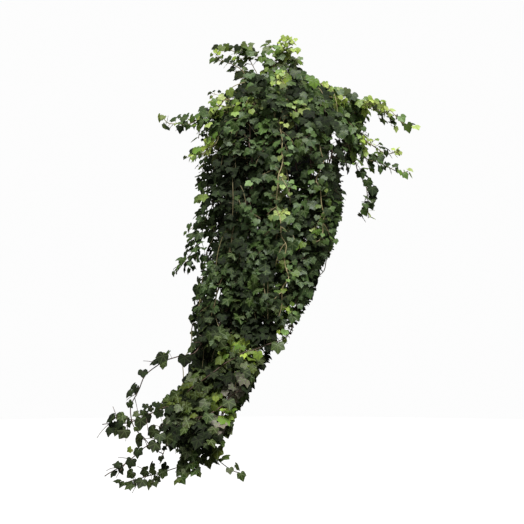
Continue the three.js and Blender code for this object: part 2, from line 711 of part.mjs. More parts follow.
const hangingPot = new THREE.Group();
hangingPot.position.z = -RIM_DROP;
hangingPot.add(piece("pot", potShape, potPlastic), piece("potting_soil", soilShape, pottingSoil));
wireShapes.forEach((shape, i) => hangingPot.add(piece(`hanger_wire_${i + 1}`, shape, hangerSteel)));
plant.forEach(({ name, shape, finish }) => hangingPot.add(piece(name, shape, finish)));

const pottedIvy = new THREE.Group();
pottedIvy.add(piece("hanger_hook", hookShape, hangerSteel), hangingPot);

export default pottedIvy;
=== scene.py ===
"""Potted ivy: an English ivy in a plain hanging pot, dressed for its picture.

Lengths are in metres. The plant, the pot and the wires are drawn with z = 0 at the top of the rim and
the pot's axis on Z. Each finished mesh is then lowered into the frame, whose origin is the inside top of
the hook, and whose front is towards -Y. Heights and drops are counted from the rim.
Tables of route points are in millimetres.
"""

import math
import random
from dataclasses import dataclass

import bmesh
import bpy
from bpy.props import FloatProperty, FloatVectorProperty, IntProperty, PointerProperty
from bpy.types import Operator, Panel, PropertyGroup
from mathutils import Matrix, Vector, noise
from mathutils.geometry import interpolate_bezier


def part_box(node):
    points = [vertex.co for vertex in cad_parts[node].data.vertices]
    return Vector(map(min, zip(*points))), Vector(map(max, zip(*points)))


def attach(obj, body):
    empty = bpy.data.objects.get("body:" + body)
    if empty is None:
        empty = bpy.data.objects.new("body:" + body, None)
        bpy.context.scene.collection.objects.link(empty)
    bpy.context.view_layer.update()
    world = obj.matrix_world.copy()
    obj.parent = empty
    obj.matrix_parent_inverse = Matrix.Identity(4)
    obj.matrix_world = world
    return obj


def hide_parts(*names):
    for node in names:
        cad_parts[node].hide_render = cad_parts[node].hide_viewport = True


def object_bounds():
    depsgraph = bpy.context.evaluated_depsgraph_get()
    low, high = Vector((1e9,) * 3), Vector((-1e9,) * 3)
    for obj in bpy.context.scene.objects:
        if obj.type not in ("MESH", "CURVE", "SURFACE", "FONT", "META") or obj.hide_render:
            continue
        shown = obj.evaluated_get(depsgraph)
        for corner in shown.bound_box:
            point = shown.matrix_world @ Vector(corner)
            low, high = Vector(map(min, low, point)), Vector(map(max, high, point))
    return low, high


bl_info = {
    "name": "Potted Ivy",
    "version": (1, 0, 0),
    "blender": (4, 5, 0),
    "location": "View3D > Sidebar > Potted Ivy",
    "description": "Builds an English ivy that trails from a hanging pot",
    "category": "Add Mesh",
}

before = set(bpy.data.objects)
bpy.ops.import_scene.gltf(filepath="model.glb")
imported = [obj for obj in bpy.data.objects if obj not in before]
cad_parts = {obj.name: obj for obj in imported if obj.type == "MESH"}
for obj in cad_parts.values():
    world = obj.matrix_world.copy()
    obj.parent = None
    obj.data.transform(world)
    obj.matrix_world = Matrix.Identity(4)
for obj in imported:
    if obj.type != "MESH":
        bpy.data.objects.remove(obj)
CAD_BOX = [list(corner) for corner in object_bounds()]

MM = 0.001
UP = Vector((0, 0, 1))

# ---- Sizes that the frame gives ----
POT_LOW, POT_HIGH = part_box("pot")
RIM_TOP = POT_HIGH.z
RIM_RADIUS = POT_HIGH.x
POT_HEIGHT = POT_HIGH.z - POT_LOW.z
TO_FRAME = Matrix.Translation((0, 0, RIM_TOP))

# The leaf shapes, the room that all stems share and the stems that show, kept between the operators.
SHARED = {}

# ---- Sizes shared by the pot, its soil and its hanger ----
POT_TOP_RADIUS = 0.112
POT_BASE_RADIUS = 0.082
POT_WALL = 0.0025
RIM_THICKNESS = 0.003
SOIL_BELOW_RIM = 0.022
SOIL_CROWN = 0.008
WIRE_AZIMUTHS = (90, 210, 330)
WIRE_HOLE_RING = 0.119
WIRE_RADIUS = 0.0012
HOOK_ROD_RADIUS = 0.002
HOOK_INSIDE_RADIUS = 0.012
HOOK_TURNS = (-50, 210)
FERRULE_RADIUS = 0.0065
FERRULE_TOP = -0.058
FERRULE_HEIGHT = 0.016

# ---- The camera, low and in front ----
CAMERA_PLACE = (-0.0656, -2.4, -1.072)

# ---- The way in which the stems hang ----
SWEEP_STARTS = 0.35
SWEEP_LENGTH = 0.7
SWEEP_LEFT = 0.27
SWEEP_FRONT = 0.17
NARROWING = 0.54
CURTAIN_TOP = 0.08
CURTAIN_SPAN = 0.14
CURTAIN_STRAY = 0.016
NEAREST_REACH = 0.15
ARCH_PER_REACH = 0.6
STEM_FOOT = 0.006
ROUTE_STEP = 0.012


# ---- Settings ----


def length(name, description, default, **limits):
    """A length that a user may change."""
    return FloatProperty(
        name=name, description=description, default=default, unit="LENGTH", subtype="DISTANCE", **limits
    )


def colour(name, description, default):
    """A colour in linear light."""
    return FloatVectorProperty(
        name=name, description=description, default=default, size=3, min=0, max=1, subtype="COLOR"
    )


def strength(name, description, default):
    """The strength of a light."""
    return FloatProperty(name=name, description=description, default=default, min=0)


class IVY_PG_leaves(PropertyGroup):
    """The leaves of every stem."""

    width: length("Leaf width", "Width of a full-grown leaf", 0.033)
    spacing: length("Spacing", "Distance along a stem from one leaf to the next", 0.0142)
    petiole: length("Petiole", "Length of a full-grown leaf's stalk", 0.022)
    thickness: length("Thickness", "Thickness of a blade at its middle", 0.0005)
    young: colour("Young leaf", "Colour of the newest leaves", (0.34, 0.44, 0.060))
    fresh: colour("Fresh leaf", "Colour of leaves near a tip", (0.108, 0.210, 0.026))
    full: colour("Full leaf", "Colour of full-grown leaves", (0.040, 0.082, 0.012))
    old: colour("Old leaf", "Colour of the oldest leaves", (0.019, 0.040, 0.008))
    vein: colour("Vein", "Colour of the veins of an old leaf", (0.17, 0.23, 0.085))


class IVY_PG_stems(PropertyGroup):
    """The wood of every stem and its side shoots."""

    foot_radius: length("Foot radius", "Radius of a stem in the soil", 0.0024)
    tip_radius: length("Tip radius", "Radius of a stem at its tip", 0.0013)
    shoot_length: length("Shoot length", "Usual length of a side shoot", 0.095)
    shoot_radius: length("Shoot radius", "Radius of a side shoot where it leaves its stem", 0.0011)
    wood: colour("Wood", "Colour of old stems", (0.078, 0.046, 0.031))
    green: colour("Green stem", "Colour of young shoots and stalks", (0.52, 0.44, 0.21))


class IVY_PG_pot(PropertyGroup):
    """The pot and its soil."""

    sides: IntProperty(name="Sides", description="Steps round the pot", default=96, min=24, max=256)
    plastic: colour("Plastic", "Colour of the pot", (0.012, 0.017, 0.014))
    lump_height: length("Soil lumps", "Height of the lumps in the soil", 0.004)
    soil: colour("Soil", "Colour of the damp soil", (0.024, 0.014, 0.009))
    perlite_count: IntProperty(name="Perlite", description="Grains of perlite on the soil", default=46, min=0)


class IVY_PG_hanger(PropertyGroup):
    """The wires and the hook."""

    steel: colour("Coating", "Colour of the coated wire", (0.020, 0.022, 0.021))
    bend_radius: length("Bend", "Radius of the bends where a wire goes round the rim", 0.0025)


class IVY_PG_stage(PropertyGroup):
    """The floor, the light and the camera."""

    floor_drop: length("Floor", "Height of the hook over the floor", 2.05)
    floor: colour("Floor", "Colour of the floor", (0.90, 0.90, 0.89))
    backdrop: strength("Backdrop", "Brightness of the pale backdrop", 0.98)
    fill: strength("Fill light", "Even light from all round", 0.085)
    key: strength("Key light", "Strength of the soft light from above", 4.3)
    softness: FloatProperty(
        name="Softness", description="Width of the key light", default=math.radians(28), subtype="ANGLE"
    )
    lens: FloatProperty(name="Lens", description="Focal length", default=52.76, unit="CAMERA")
    pitch: FloatProperty(
        name="Pitch", description="How far the camera looks up", default=math.radians(8), subtype="ANGLE"
    )


# ---- Shader helpers ----


def feed(tree, made, inputs):
    """Sets the inputs of a shader node to numbers or to the sockets that feed them."""
    for socket, value in inputs.items():
        if isinstance(value, bpy.types.NodeSocket):
            tree.links.new(value, made.inputs[socket])
        else:
            made.inputs[socket].default_value = value


def node(tree, kind, inputs=None, **settings):
    """A shader node with its settings and its inputs."""
    made = tree.nodes.new(kind)
    for name, value in settings.items():
        setattr(made, name, value)
    feed(tree, made, inputs or {})
    return made


def calculated(tree, operation, *values):
    """The result of one Math node."""
    return node(tree, "ShaderNodeMath", dict(enumerate(values)), operation=operation).outputs[0]


def times(tree, first, second):
    """The product of two values."""
    return calculated(tree, "MULTIPLY", first, second)


def opaque(paint):
    """A colour as a socket takes it, or the socket that feeds one."""
    return paint if isinstance(paint, bpy.types.NodeSocket) else (*paint, 1)


def mixed(tree, factor, first, second, blend="MIX"):
    """Two colours mixed by a factor."""
    inputs = {0: factor, 6: opaque(first), 7: opaque(second)}
    return node(tree, "ShaderNodeMix", inputs, data_type="RGBA", blend_type=blend).outputs[2]


def ranged(tree, value, low, high, to_low=0, to_high=1, smooth=False):
    """A value carried from one range to another."""
    inputs = {"Value": value, "From Min": low, "From Max": high, "To Min": to_low, "To Max": to_high}
    kind = "SMOOTHSTEP" if smooth else "LINEAR"
    return node(tree, "ShaderNodeMapRange", inputs, interpolation_type=kind).outputs["Result"]


def noise_at(tree, coordinates, size, detail=2.0, roughness=0.5):
    """Noise whose features are about size wide, in the units of its coordinates."""
    inputs = {"Vector": coordinates, "Scale": 1 / size, "Detail": detail, "Roughness": roughness}
    return node(tree, "ShaderNodeTexNoise", inputs).outputs["Fac"]


def object_coordinates(tree):
    """Where a spot is on the piece."""
    return tree.nodes.new("ShaderNodeTexCoord").outputs["Object"]


def new_material(name):
    """A material with only its Principled shader, as the tree and the shader."""
    material = bpy.data.materials.new(name)
    material.use_nodes = True
    tree = material.node_tree
    return material, tree, tree.nodes["Principled BSDF"]


def bumped(tree, shader, height, distance, strength=1.0):
    """Lets a height in the range 0 to 1 show as relief of that depth."""
    bump = node(tree, "ShaderNodeBump", {"Height": height, "Distance": distance, "Strength": strength})
    tree.links.new(bump.outputs["Normal"], shader.inputs["Normal"])


def darkened(paint, share):
    """A colour with only a share of its light, or with more than all of it."""
    return [part * share for part in paint]


# ---- Materials of the plant ----

UPPER, UNDER, WOOD, GREEN = range(4)  # where each material stands in a leafy piece
VEIN_ANGLES = (0, 56, 114)  # degrees from the leaf's tip, to both sides
HALF_BETWEEN_VEINS = 28
VEIN_EDGE = (0.026, 0.004)  # from where a vein can't be seen to where it is full, beside its middle
VEIN_START = (-0.01, 0.02)
NET_SCALE = 17.0
NET_LINE = 0.12
UV_SCALE = 0.5  # a blade 1 wide fills half of its UV square
# a blue-grey tint: partly the leaves' own tone, partly a painted sheen in the middle of the front
COOL_TINT_AND_SHEEN = (1.50, 1.33, 3.0)
WARM_TINT = (1.90, 1.12, 0.45)
DRY_BROWN = (0.150, 0.125, 0.105)
# how far painted shade darkens and painted light brightens a leaf's colour, from its darkest place to its
# lightest
SHADE_RANGE = (0.07, 1.75)
UNDER_PALE = (0.16, 0.20, 0.10)
UNDER_NET = (0.24, 0.28, 0.15)
UNDER_VEIN = (0.30, 0.33, 0.19)
AGED_SHOOT = (0.10, 0.078, 0.042)


def vein_pattern(tree):
    """The main veins of a blade, from 0 to 1, which run from its base to the tips of its lobes."""
    uv = node(tree, "ShaderNodeUVMap", uv_map="blade").outputs["UV"]
    place = node(tree, "ShaderNodeSeparateXYZ", {"Vector": uv})
    across = calculated(tree, "ABSOLUTE", calculated(tree, "SUBTRACT", place.outputs["X"], 0.5))
    along = calculated(tree, "SUBTRACT", place.outputs["Y"], 0.5)
    veins = 0.0
    for angle in VEIN_ANGLES:
        sine = math.sin(math.radians(angle))
        cosine = math.cos(math.radians(angle))
        sideways = calculated(tree, "SUBTRACT", times(tree, across, cosine), times(tree, along, sine))
        onwards = calculated(tree, "ADD", times(tree, across, sine), times(tree, along, cosine))
        line = ranged(tree, calculated(tree, "ABSOLUTE", sideways), *VEIN_EDGE, smooth=True)
        veins = calculated(tree, "MAXIMUM", veins, times(tree, line, ranged(tree, onwards, *VEIN_START)))
    return uv, veins


def vein_net(tree, uv):
    """The fine net between the main veins, from 0 to 1."""
    inputs = {"Vector": uv, "Scale": NET_SCALE}
    cells = node(tree, "ShaderNodeTexVoronoi", inputs, feature="DISTANCE_TO_EDGE")
    return ranged(tree, cells.outputs["Distance"], 0.0, NET_LINE, 1, 0)


def carried_tone_and_light(tree):
    """What each leaf carries: its age, the painted light and shade of its place, how warm its green is and
    whether it is dry.
    """
    tone = node(tree, "ShaderNodeAttribute", attribute_name="leaf_tone_and_light")
    parts = node(tree, "ShaderNodeSeparateColor", {"Color": tone.outputs["Color"]})
    return *(parts.outputs[name] for name in ("Red", "Green", "Blue")), tone.outputs["Alpha"]


def leaf_colour(tree, leaves):
    """The age of a blade, the painted light and shade of its place, and its colour by both, before its veins.
    """
    age, light, hue, dry = carried_tone_and_light(tree)
    green = mixed(tree, ranged(tree, age, 0.0, 0.35, smooth=True), leaves.young, leaves.fresh)
    green = mixed(tree, ranged(tree, age, 0.30, 0.7, smooth=True), green, leaves.full)
    green = mixed(tree, ranged(tree, age, 0.65, 1.0), green, leaves.old)
    green = mixed(tree, ranged(tree, hue, 0.5, 0), green, COOL_TINT_AND_SHEEN, "MULTIPLY")
    warm = times(tree, ranged(tree, hue, 0.5, 1), ranged(tree, age, 0.2, 0.6))
    green = mixed(tree, warm, green, WARM_TINT, "MULTIPLY")
    green = mixed(tree, dry, green, DRY_BROWN)
    # painted shade and painted light: the colour is multiplied by a grey that is darker where the leaf's
    # place is in shade
    shade = ranged(tree, light, 0, 1, *SHADE_RANGE)
    grey = node(tree, "ShaderNodeCombineColor", {"Red": shade, "Green": shade, "Blue": shade})
    return age, light, mixed(tree, 1.0, green, grey.outputs["Color"], "MULTIPLY")


def leaf_upper_material(leaves):
    """The waxy upper face: deep green with paler veins, patchy, darkened by painted shade, and duller and
    with fainter veins where that painted shade is.
    """
    material, tree, shader = new_material("ivy_leaf_upper")
    uv, veins = vein_pattern(tree)
    net = vein_net(tree, uv)
    age, light, green = leaf_colour(tree, leaves)
    patches = noise_at(tree, object_coordinates(tree), 0.012, 3.0)
    patched = mixed(tree, ranged(tree, patches, 0.35, 0.7, 0, 0.35), green, leaves.full)
    # the veins and their net fade where the leaf's colour is darkened by painted shade
    seen = ranged(tree, light, 0.0, 0.4, 0.15, 1)
    netted = mixed(tree, times(tree, times(tree, net, 0.14), seen), patched, leaves.vein)
    strength = times(tree, ranged(tree, age, 0.0, 0.6, 0.3, 0.75), seen)
    veined = mixed(tree, times(tree, veins, strength), netted, leaves.vein)
    dullness = times(tree, ranged(tree, light, 0.0, 0.5, 1, 0), 0.4)
    roughness = calculated(tree, "ADD", ranged(tree, patches, 0, 1, 0.34, 0.5), dullness)
    feed(tree, shader, {"Base Color": veined, "Roughness": roughness})
    shader.inputs["Specular IOR Level"].default_value = 0.30
    sunk = calculated(tree, "MAXIMUM", veins, times(tree, net, 0.3))
    bumped(tree, shader, calculated(tree, "SUBTRACT", 1.0, sunk), 0.0005, 0.7)
    return material


def leaf_under_material(leaves):
    """The dull, paler underside, whose veins stand out."""
    material, tree, shader = new_material("ivy_leaf_under")
    uv, veins = vein_pattern(tree)
    net = vein_net(tree, uv)
    # the upper face's colour, painted light and shade included, made paler
    pale = mixed(tree, 0.38, leaf_colour(tree, leaves)[-1], UNDER_PALE)
    netted = mixed(tree, times(tree, net, 0.2), pale, UNDER_NET)
    veined = mixed(tree, times(tree, veins, 0.6), netted, UNDER_VEIN)
    feed(tree, shader, {"Base Color": veined, "Roughness": 0.62})
    raised = calculated(tree, "MAXIMUM", veins, times(tree, net, 0.35))
    bumped(tree, shader, raised, 0.0006, 0.8)
    return material


def wood_material(stems):
    """A thin stem's bark: streaked along its length, with darker blotches."""
    material, tree, shader = new_material("ivy_wood")
    places = object_coordinates(tree)
    stretched = node(tree, "ShaderNodeMapping", {"Vector": places, "Scale": (1, 1, 0.25)})
    streaks = noise_at(tree, stretched.outputs["Vector"], 0.002, 3.0)
    blotches = noise_at(tree, places, 0.035)
    bark = mixed(tree, ranged(tree, streaks, 0.3, 0.7), stems.wood, darkened(stems.wood, 1.9))
    bark = mixed(tree, ranged(tree, blotches, 0.45, 0.75, 0, 0.6), bark, darkened(stems.wood, 0.55))
    feed(tree, shader, {"Base Color": bark, "Roughness": ranged(tree, streaks, 0, 1, 0.45, 0.75)})
    bumped(tree, shader, streaks, 0.0004, 0.6)
    return material


def green_material(stems):
    """The skin of young shoots and of leaf stalks, which turns dull and brownish with age."""
    material, tree, shader = new_material("ivy_green_shoot")
    skin = mixed(tree, ranged(tree, carried_tone_and_light(tree)[0], 0.15, 0.8), stems.green, AGED_SHOOT)
    blush = noise_at(tree, object_coordinates(tree), 0.03)
    skin = mixed(tree, ranged(tree, blush, 0.5, 0.75, 0, 0.3), skin, darkened(stems.wood, 2.2))
    feed(tree, shader, {"Base Color": skin, "Roughness": ranged(tree, blush, 0, 1, 0.4, 0.6)})
    return material


def plant_materials(settings):
    """The materials of the leafy pieces in their order, made once."""
    names = ("ivy_leaf_upper", "ivy_leaf_under", "ivy_wood", "ivy_green_shoot")
    made = [bpy.data.materials.get(name) for name in names]
    if all(made):
        return made
    return [
        leaf_upper_material(settings.leaves),
        leaf_under_material(settings.leaves),
        wood_material(settings.stems),
        green_material(settings.stems),
    ]


# ---- Mesh helpers ----


def mesh_of(bm, name):
    """A BMesh as a mesh. The BMesh is freed."""
    mesh = bpy.data.meshes.new(name)
    bm.to_mesh(mesh)
    bm.free()
    return mesh


def round_curve(radius, resolution):
    """An empty curve whose lines become round rods with closed ends."""
    curve = bpy.data.curves.new("rods", "CURVE")
    curve.dimensions = "3D"
    curve.bevel_depth = radius
    curve.bevel_resolution = resolution
    curve.use_fill_caps = True
    return curve


def add_line(curve, points, radii=None):
    """Adds a line to a curve, of even thickness unless it is given a radius for each point."""
    spline = curve.splines.new("POLY")
    spline.points.add(len(points) - 1)
    for i, place in enumerate(points):
        spline.points[i].co = (*place, 1)
        if radii is not None:
            spline.points[i].radius = radii[i]
    return spline


def solid_of(curve, keep_uv=True):
    """A curve as a closed BMesh. The curve is removed."""
    holder = bpy.data.objects.new("rods", curve)
    mesh = bpy.data.meshes.new_from_object(holder)
    bpy.data.objects.remove(holder)
    bpy.data.curves.remove(curve)
    while mesh.uv_layers and not keep_uv:
        mesh.uv_layers.remove(mesh.uv_layers[0])
    bm = bmesh.new()
    bm.from_mesh(mesh)
    bmesh.ops.remove_doubles(bm, verts=bm.verts, dist=1e-6)
    return bm


# ---- Leaf shapes ----

# Half of a blade's outline as (degrees from the tip, distance from the base), for a blade about 1 wide.
# The points at the vein angles are the tips of its lobes.
FIVE_LOBES = (
    (0, 0.73), (12, 0.62), (28, 0.51), (43, 0.56), (56, 0.61), (69, 0.53),
    (84, 0.44), (101, 0.47), (114, 0.49), (136, 0.39), (164, 0.20), (180, 0.08),
)  # fmt: skip
THREE_LOBES = (
    (0, 0.74), (13, 0.63), (31, 0.53), (46, 0.57), (56, 0.58),
    (78, 0.50), (112, 0.45), (138, 0.37), (165, 0.19), (180, 0.08),
)  # fmt: skip
YOUNG_LOBES = (
    (0, 0.78), (18, 0.59), (36, 0.49), (56, 0.56), (84, 0.42), (114, 0.40), (146, 0.29), (180, 0.08),
)  # fmt: skip


def blade_height(x, y, fold, droop, lift):
    """How high a spot of the blade lies, folded along its midrib, drooping, and lifted between its lobes."""
    angle = abs(math.degrees(math.atan2(x, y)))
    distance = math.hypot(x, y)
    between = min(abs(angle - vein) for vein in VEIN_ANGLES) / HALF_BETWEEN_VEINS
    return fold * abs(x) - droop * distance**2 + lift * min(1, between) * distance


def leaf_blade(name, half_outline, thickness, fold, droop, lift, lean):
    """A closed thin blade whose base is at the origin, with its tip along +Y and its upper face up."""
    whole = [*half_outline, *((360 - angle, r) for angle, r in reversed(half_outline[1:-1]))]
    bm = bmesh.new()
    bmesh.ops.create_circle(bm, cap_ends=True, cap_tris=True, segments=len(whole), radius=1)
    hub = min(bm.verts, key=lambda v: v.co.length)
    rim = sorted((v for v in bm.verts if v is not hub), key=lambda v: math.atan2(v.co.x, v.co.y) % math.tau)
    for vertex, (angle, distance) in zip(rim, whole):
        turn = math.radians(angle)
        vertex.co = (distance * math.sin(turn), distance * math.cos(turn), 0)
    tips = [v for v, (angle, _) in zip(rim, whole) if min(angle, 360 - angle) in VEIN_ANGLES]
    veins = [e for e in hub.link_edges if e.other_vert(hub) in tips]
    bmesh.ops.subdivide_edges(bm, edges=veins, cuts=1)
    for vertex in bm.verts:
        vertex.co.z = blade_height(vertex.co.x, vertex.co.y, fold, droop, lift) + lean * vertex.co.x
    bmesh.ops.recalc_face_normals(bm, faces=bm.faces)
    if sum(face.normal.z for face in bm.faces) < 0:
        bmesh.ops.reverse_faces(bm, faces=bm.faces)
    close_blade(bm, thickness)
    return mesh_of(bm, name)


def close_blade(bm, thickness):
    """Gives a one-sided blade its underside, joined at the outline, its UV map and its two materials."""
    copy = bmesh.ops.duplicate(bm, geom=[*bm.verts, *bm.edges, *bm.faces])
    under = [item for item in copy["geom"] if isinstance(item, bmesh.types.BMFace)]
    bmesh.ops.reverse_faces(bm, faces=under)
    for face in under:
        face.material_index = UNDER
    for vertex in [item for item in copy["geom"] if isinstance(item, bmesh.types.BMVert)]:
        if not vertex.is_boundary:
            vertex.co.z -= thickness
    bmesh.ops.remove_doubles(bm, verts=bm.verts, dist=1e-5)
    blade = bm.loops.layers.uv.new("blade")
    for face in bm.faces:
        face.smooth = True
        for corner in face.loops:
            corner[blade].uv = corner.vert.co.xy * UV_SCALE + Vector((0.5, 0.5))
    for edge in bm.edges:
        edge.smooth = len({face.material_index for face in edge.link_faces}) == 1


STALK_RADIUS = 0.034  # of a stalk 1 long
STALK_BOWS = (0.06, 0.12, -0.05)


def petiole_stalk(name, bow):
    """A thin stalk 1 long along +Z, bowed towards +X."""
    bm = bmesh.new()
    bm.loops.layers.uv.new("blade")
    foot = bmesh.ops.create_circle(bm, cap_ends=True, segments=3, radius=STALK_RADIUS)
    bmesh.ops.reverse_faces(bm, faces=bm.faces)
    ring = foot["verts"]
    for step in (0.55, 1.0):
        face = bmesh.ops.extrude_face_region(bm, geom=[f for f in bm.faces if set(f.verts) == set(ring)])
        ring = [item for item in face["geom"] if isinstance(item, bmesh.types.BMVert)]
        for vertex in ring:
            vertex.co.z = step
    for vertex in bm.verts:
        vertex.co.x += bow * 4 * vertex.co.z * (1 - vertex.co.z)
    bmesh.ops.recalc_face_normals(bm, faces=bm.faces)
    for face in bm.faces:
        face.smooth = True
        face.material_index = GREEN
    return mesh_of(bm, name)


SHAPES_OF_EACH_AGE = 4
FIRST_SHAPE_SEED = 40


def leaf_kit(leaves):
    """The blades and stalks that every leaf is stamped from."""
    thin = leaves.thickness / leaves.width
    outlines = {"old": FIVE_LOBES, "middle": THREE_LOBES, "young": YOUNG_LOBES}
    kit = {age: [] for age in outlines}
    for i in range(SHAPES_OF_EACH_AGE):
        rng = random.Random(FIRST_SHAPE_SEED + i)
        bent = {
            "fold": rng.uniform(-0.05, 0.22),
            "droop": rng.uniform(0.05, 0.4),
            "lift": rng.uniform(0.05, 0.16),
            "lean": rng.uniform(-0.12, 0.12),
        }
        for age, outline in outlines.items():
            kit[age].append(leaf_blade(f"{age}_blade_{i}", outline, thin, **bent))
    kit["stalks"] = [petiole_stalk(f"stalk_{i}", bow) for i, bow in enumerate(STALK_BOWS)]
    return kit


# ---- Routes of the stems ----


def seeded_draws(seed):
    """The same numbers from 0 to 1 on every run, for each seed."""
    state = seed * 7919 + 17
    while True:
        state = (state * 16807) % 2147483647
        yield state / 2147483647


def compass(azimuth, radius, z):
    """A point at an azimuth in degrees, a distance from the pot's axis and a height."""
    angle = math.radians(azimuth)
    return Vector((math.cos(angle) * radius, math.sin(angle) * radius, z))


def soil_radius(z):
    """The soil's radius at a height inside the pot."""
    slope = (POT_TOP_RADIUS - POT_BASE_RADIUS) / POT_HEIGHT
    return POT_BASE_RADIUS - POT_WALL - 0.0006 + slope * (z + POT_HEIGHT - POT_WALL)


def soil_top(radius):
    """The soil's height at a distance from the pot's axis."""
    return -SOIL_BELOW_RIM + SOIL_CROWN * (1 - radius / soil_radius(-SOIL_BELOW_RIM))


def sweep(drop):
    """Where the middle of the curtain is at a drop below the rim, and how far it has drawn together."""
    part = max(0.0, drop - SWEEP_STARTS) / SWEEP_LENGTH
    eased = part**1.2
    held = min(1.0, part)
    narrowing = 1 - NARROWING * held * held * (3 - 2 * held)
    return -SWEEP_LEFT * eased, -SWEEP_FRONT * eased, narrowing


def over_rim(azimuth, root_radius, arch):
    """Out of the soil and over the rim, in the upright plane at one azimuth, arching up in between."""
    return [
        compass(azimuth, root_radius, soil_top(root_radius) + STEM_FOOT),
        compass(azimuth, root_radius + 0.008, 0.006 + arch * 0.4),
        compass(azimuth, RIM_RADIUS - 0.012, 0.014 + arch),
        compass(azimuth, RIM_RADIUS + 0.016, 0.002 + arch * 0.9),
    ]


def curtain_route(azimuth, root_radius, reach, lowest, draws):
    """Over the rim and down in the curtain to a drop, straying a little on the way."""
    points = over_rim(azimuth, root_radius, (reach - NEAREST_REACH) * ARCH_PER_REACH)
    spans = math.floor((lowest - CURTAIN_TOP) / CURTAIN_SPAN + 0.5)
    for i in range(spans + 1):
        drop = CURTAIN_TOP + (lowest - CURTAIN_TOP) * i / spans
        x, y, narrowing = sweep(drop)
        radius = (reach + (next(draws) - 0.5) * CURTAIN_STRAY) * narrowing
        bearing = azimuth + math.degrees((next(draws) - 0.5) * CURTAIN_STRAY / radius)
        points.append(compass(bearing, radius, -drop) + Vector((x, y, 0)))
    return points


def at(rows):
    """Route points in metres, from rows of millimetres."""
    return [Vector(row) * MM for row in rows]


CURTAIN_RINGS = (
    {"reach": 0.150, "root": 0.058, "tone": "old", "azimuths": (2, 58, 100, 133, 176, 190, 256, 350)},
    {"reach": 0.188, "root": 0.084, "tone": "full", "azimuths": (27, 69, 111, 144, 218, 265)},
    {"reach": 0.222, "root": 0.072, "tone": "old", "azimuths": (47, 80, 122, 155, 181, 229)},
)
CURTAIN_LOWEST = 0.78
CURTAIN_LONG_SIDE = 210
CURTAIN_LONG_EXTRA = 0.24
CURTAIN_CHANCE_EXTRA = 0.06

# name, azimuth, reach and the drop where it leaves the curtain, tone, then its route from there
TRAILING_STEMS = (
    ("trailing_stem_left_arc", 238, 0.196, 0.640, "old",
     ((-243, -262, -758), (-298, -282, -774), (-346, -300, -796), (-392, -306, -850), (-412, -306, -910),
      (-402, -300, -968), (-370, -296, -1012), (-326, -300, -1034))),
    ("trailing_stem_left_low", 247, 0.160, 0.800, "old",
     ((-264, -262, -896), (-335, -310, -912), (-400, -350, -942), (-452, -356, -952), (-484, -352, -954))),
    ("trailing_stem_cross_high", 312, 0.205, 0.560, "full",
     ((26, -214, -672), (-24, -240, -726), (-84, -266, -748), (-137, -290, -778), (-212, -306, -818),
      (-270, -318, -872))),
    ("trailing_stem_cross_low", 302, 0.180, 0.700, "full",
     ((-104, -262, -836), (-150, -284, -886), (-216, -308, -928), (-308, -326, -962), (-376, -338, -1014),
      (-432, -348, -1056), (-476, -352, -1084))),
    ("trailing_stem_bottom_left", 284, 0.172, 0.860, "old",
     ((-190, -262, -986), (-244, -282, -1040), (-330, -300, -1082), (-400, -318, -1098),
      (-448, -322, -1104))),
    ("trailing_stem_bottom_front", 293, 0.200, 0.880, "old",
     ((-182, -296, -992), (-188, -290, -1040), (-156, -286, -1070), (-122, -286, -1078))),
)  # fmt: skip
TRAILING_ROOTS = (0.066, 0.050, 0.078)

# name, azimuth, arch over the rim, tone, then its route from there
SIDE_STEMS = (
    ("bright_stem_front", 274, 0.044, "young",
     ((-4, -226, -60), (-12, -240, -200), (-16, -250, -339), (-4, -256, -430), (3, -262, -515),
      (-8, -270, -600), (-24, -276, -664))),
    ("bright_stem_right_front", 321, 0.020, "young",
     ((112, -176, -90), (102, -208, -215), (107, -222, -333), (108, -228, -410), (92, -238, -440),
      (70, -244, -436))),
    ("arm_left", 194, 0.016, "young",
     ((-222, -72, -24), (-276, -88, -50), (-322, -98, -56), (-360, -100, -50), (-394, -100, -28))),
    ("shoot_left_bright", 202, 0.004, "young",
     ((-176, -88, -50), (-205, -104, -104), (-244, -116, -152), (-290, -124, -188))),
    ("drip_left", 185, 0.008, "old",
     ((-196, -20, -90), (-228, -40, -220), (-242, -54, -320), (-256, -60, -404), (-286, -66, -462),
      (-326, -74, -520))),
    ("shoulder_left", 167, 0.040, "full",
     ((-196, 44, 34), (-242, 46, -50), (-254, 38, -160), (-258, 30, -260))),
    ("shoulder_left_front", 198, 0.032, "young", ((-186, -66, 20), (-238, -86, -34), (-262, -92, -110))),
    ("shoulder_right", 342, 0.056, "young",
     ((206, -70, 42), (258, -88, 16), (292, -96, -14), (318, -94, -36))),
    ("arm_right_high", 354, 0.040, "young",
     ((234, -44, 40), (300, -56, 10), (352, -62, -22), (411, -62, -44))),
    ("arm_right_middle", 346, 0.024, "full",
     ((214, -58, -40), (262, -70, -104), (316, -76, -138), (372, -76, -130))),
    ("arm_right_low", 11, 0.010, "full",
     ((200, 24, -64), (262, -4, -130), (318, -40, -172), (366, -56, -196), (394, -60, -190))),
    ("drip_right", 338, 0.010, "full",
     ((178, -80, -60), (210, -88, -140), (240, -84, -220), (258, -76, -290), (268, -70, -350))),
    ("shoulder_right_front", 19, 0.048, "young", ((196, 50, 36), (246, 40, -24), (272, 24, -90))),
    ("shoulder_right_back", 37, 0.044, "full", ((178, 118, 30), (214, 130, -50), (226, 126, -150))),
)  # fmt: skip
SIDE_ROOTS = (0.080, 0.062)

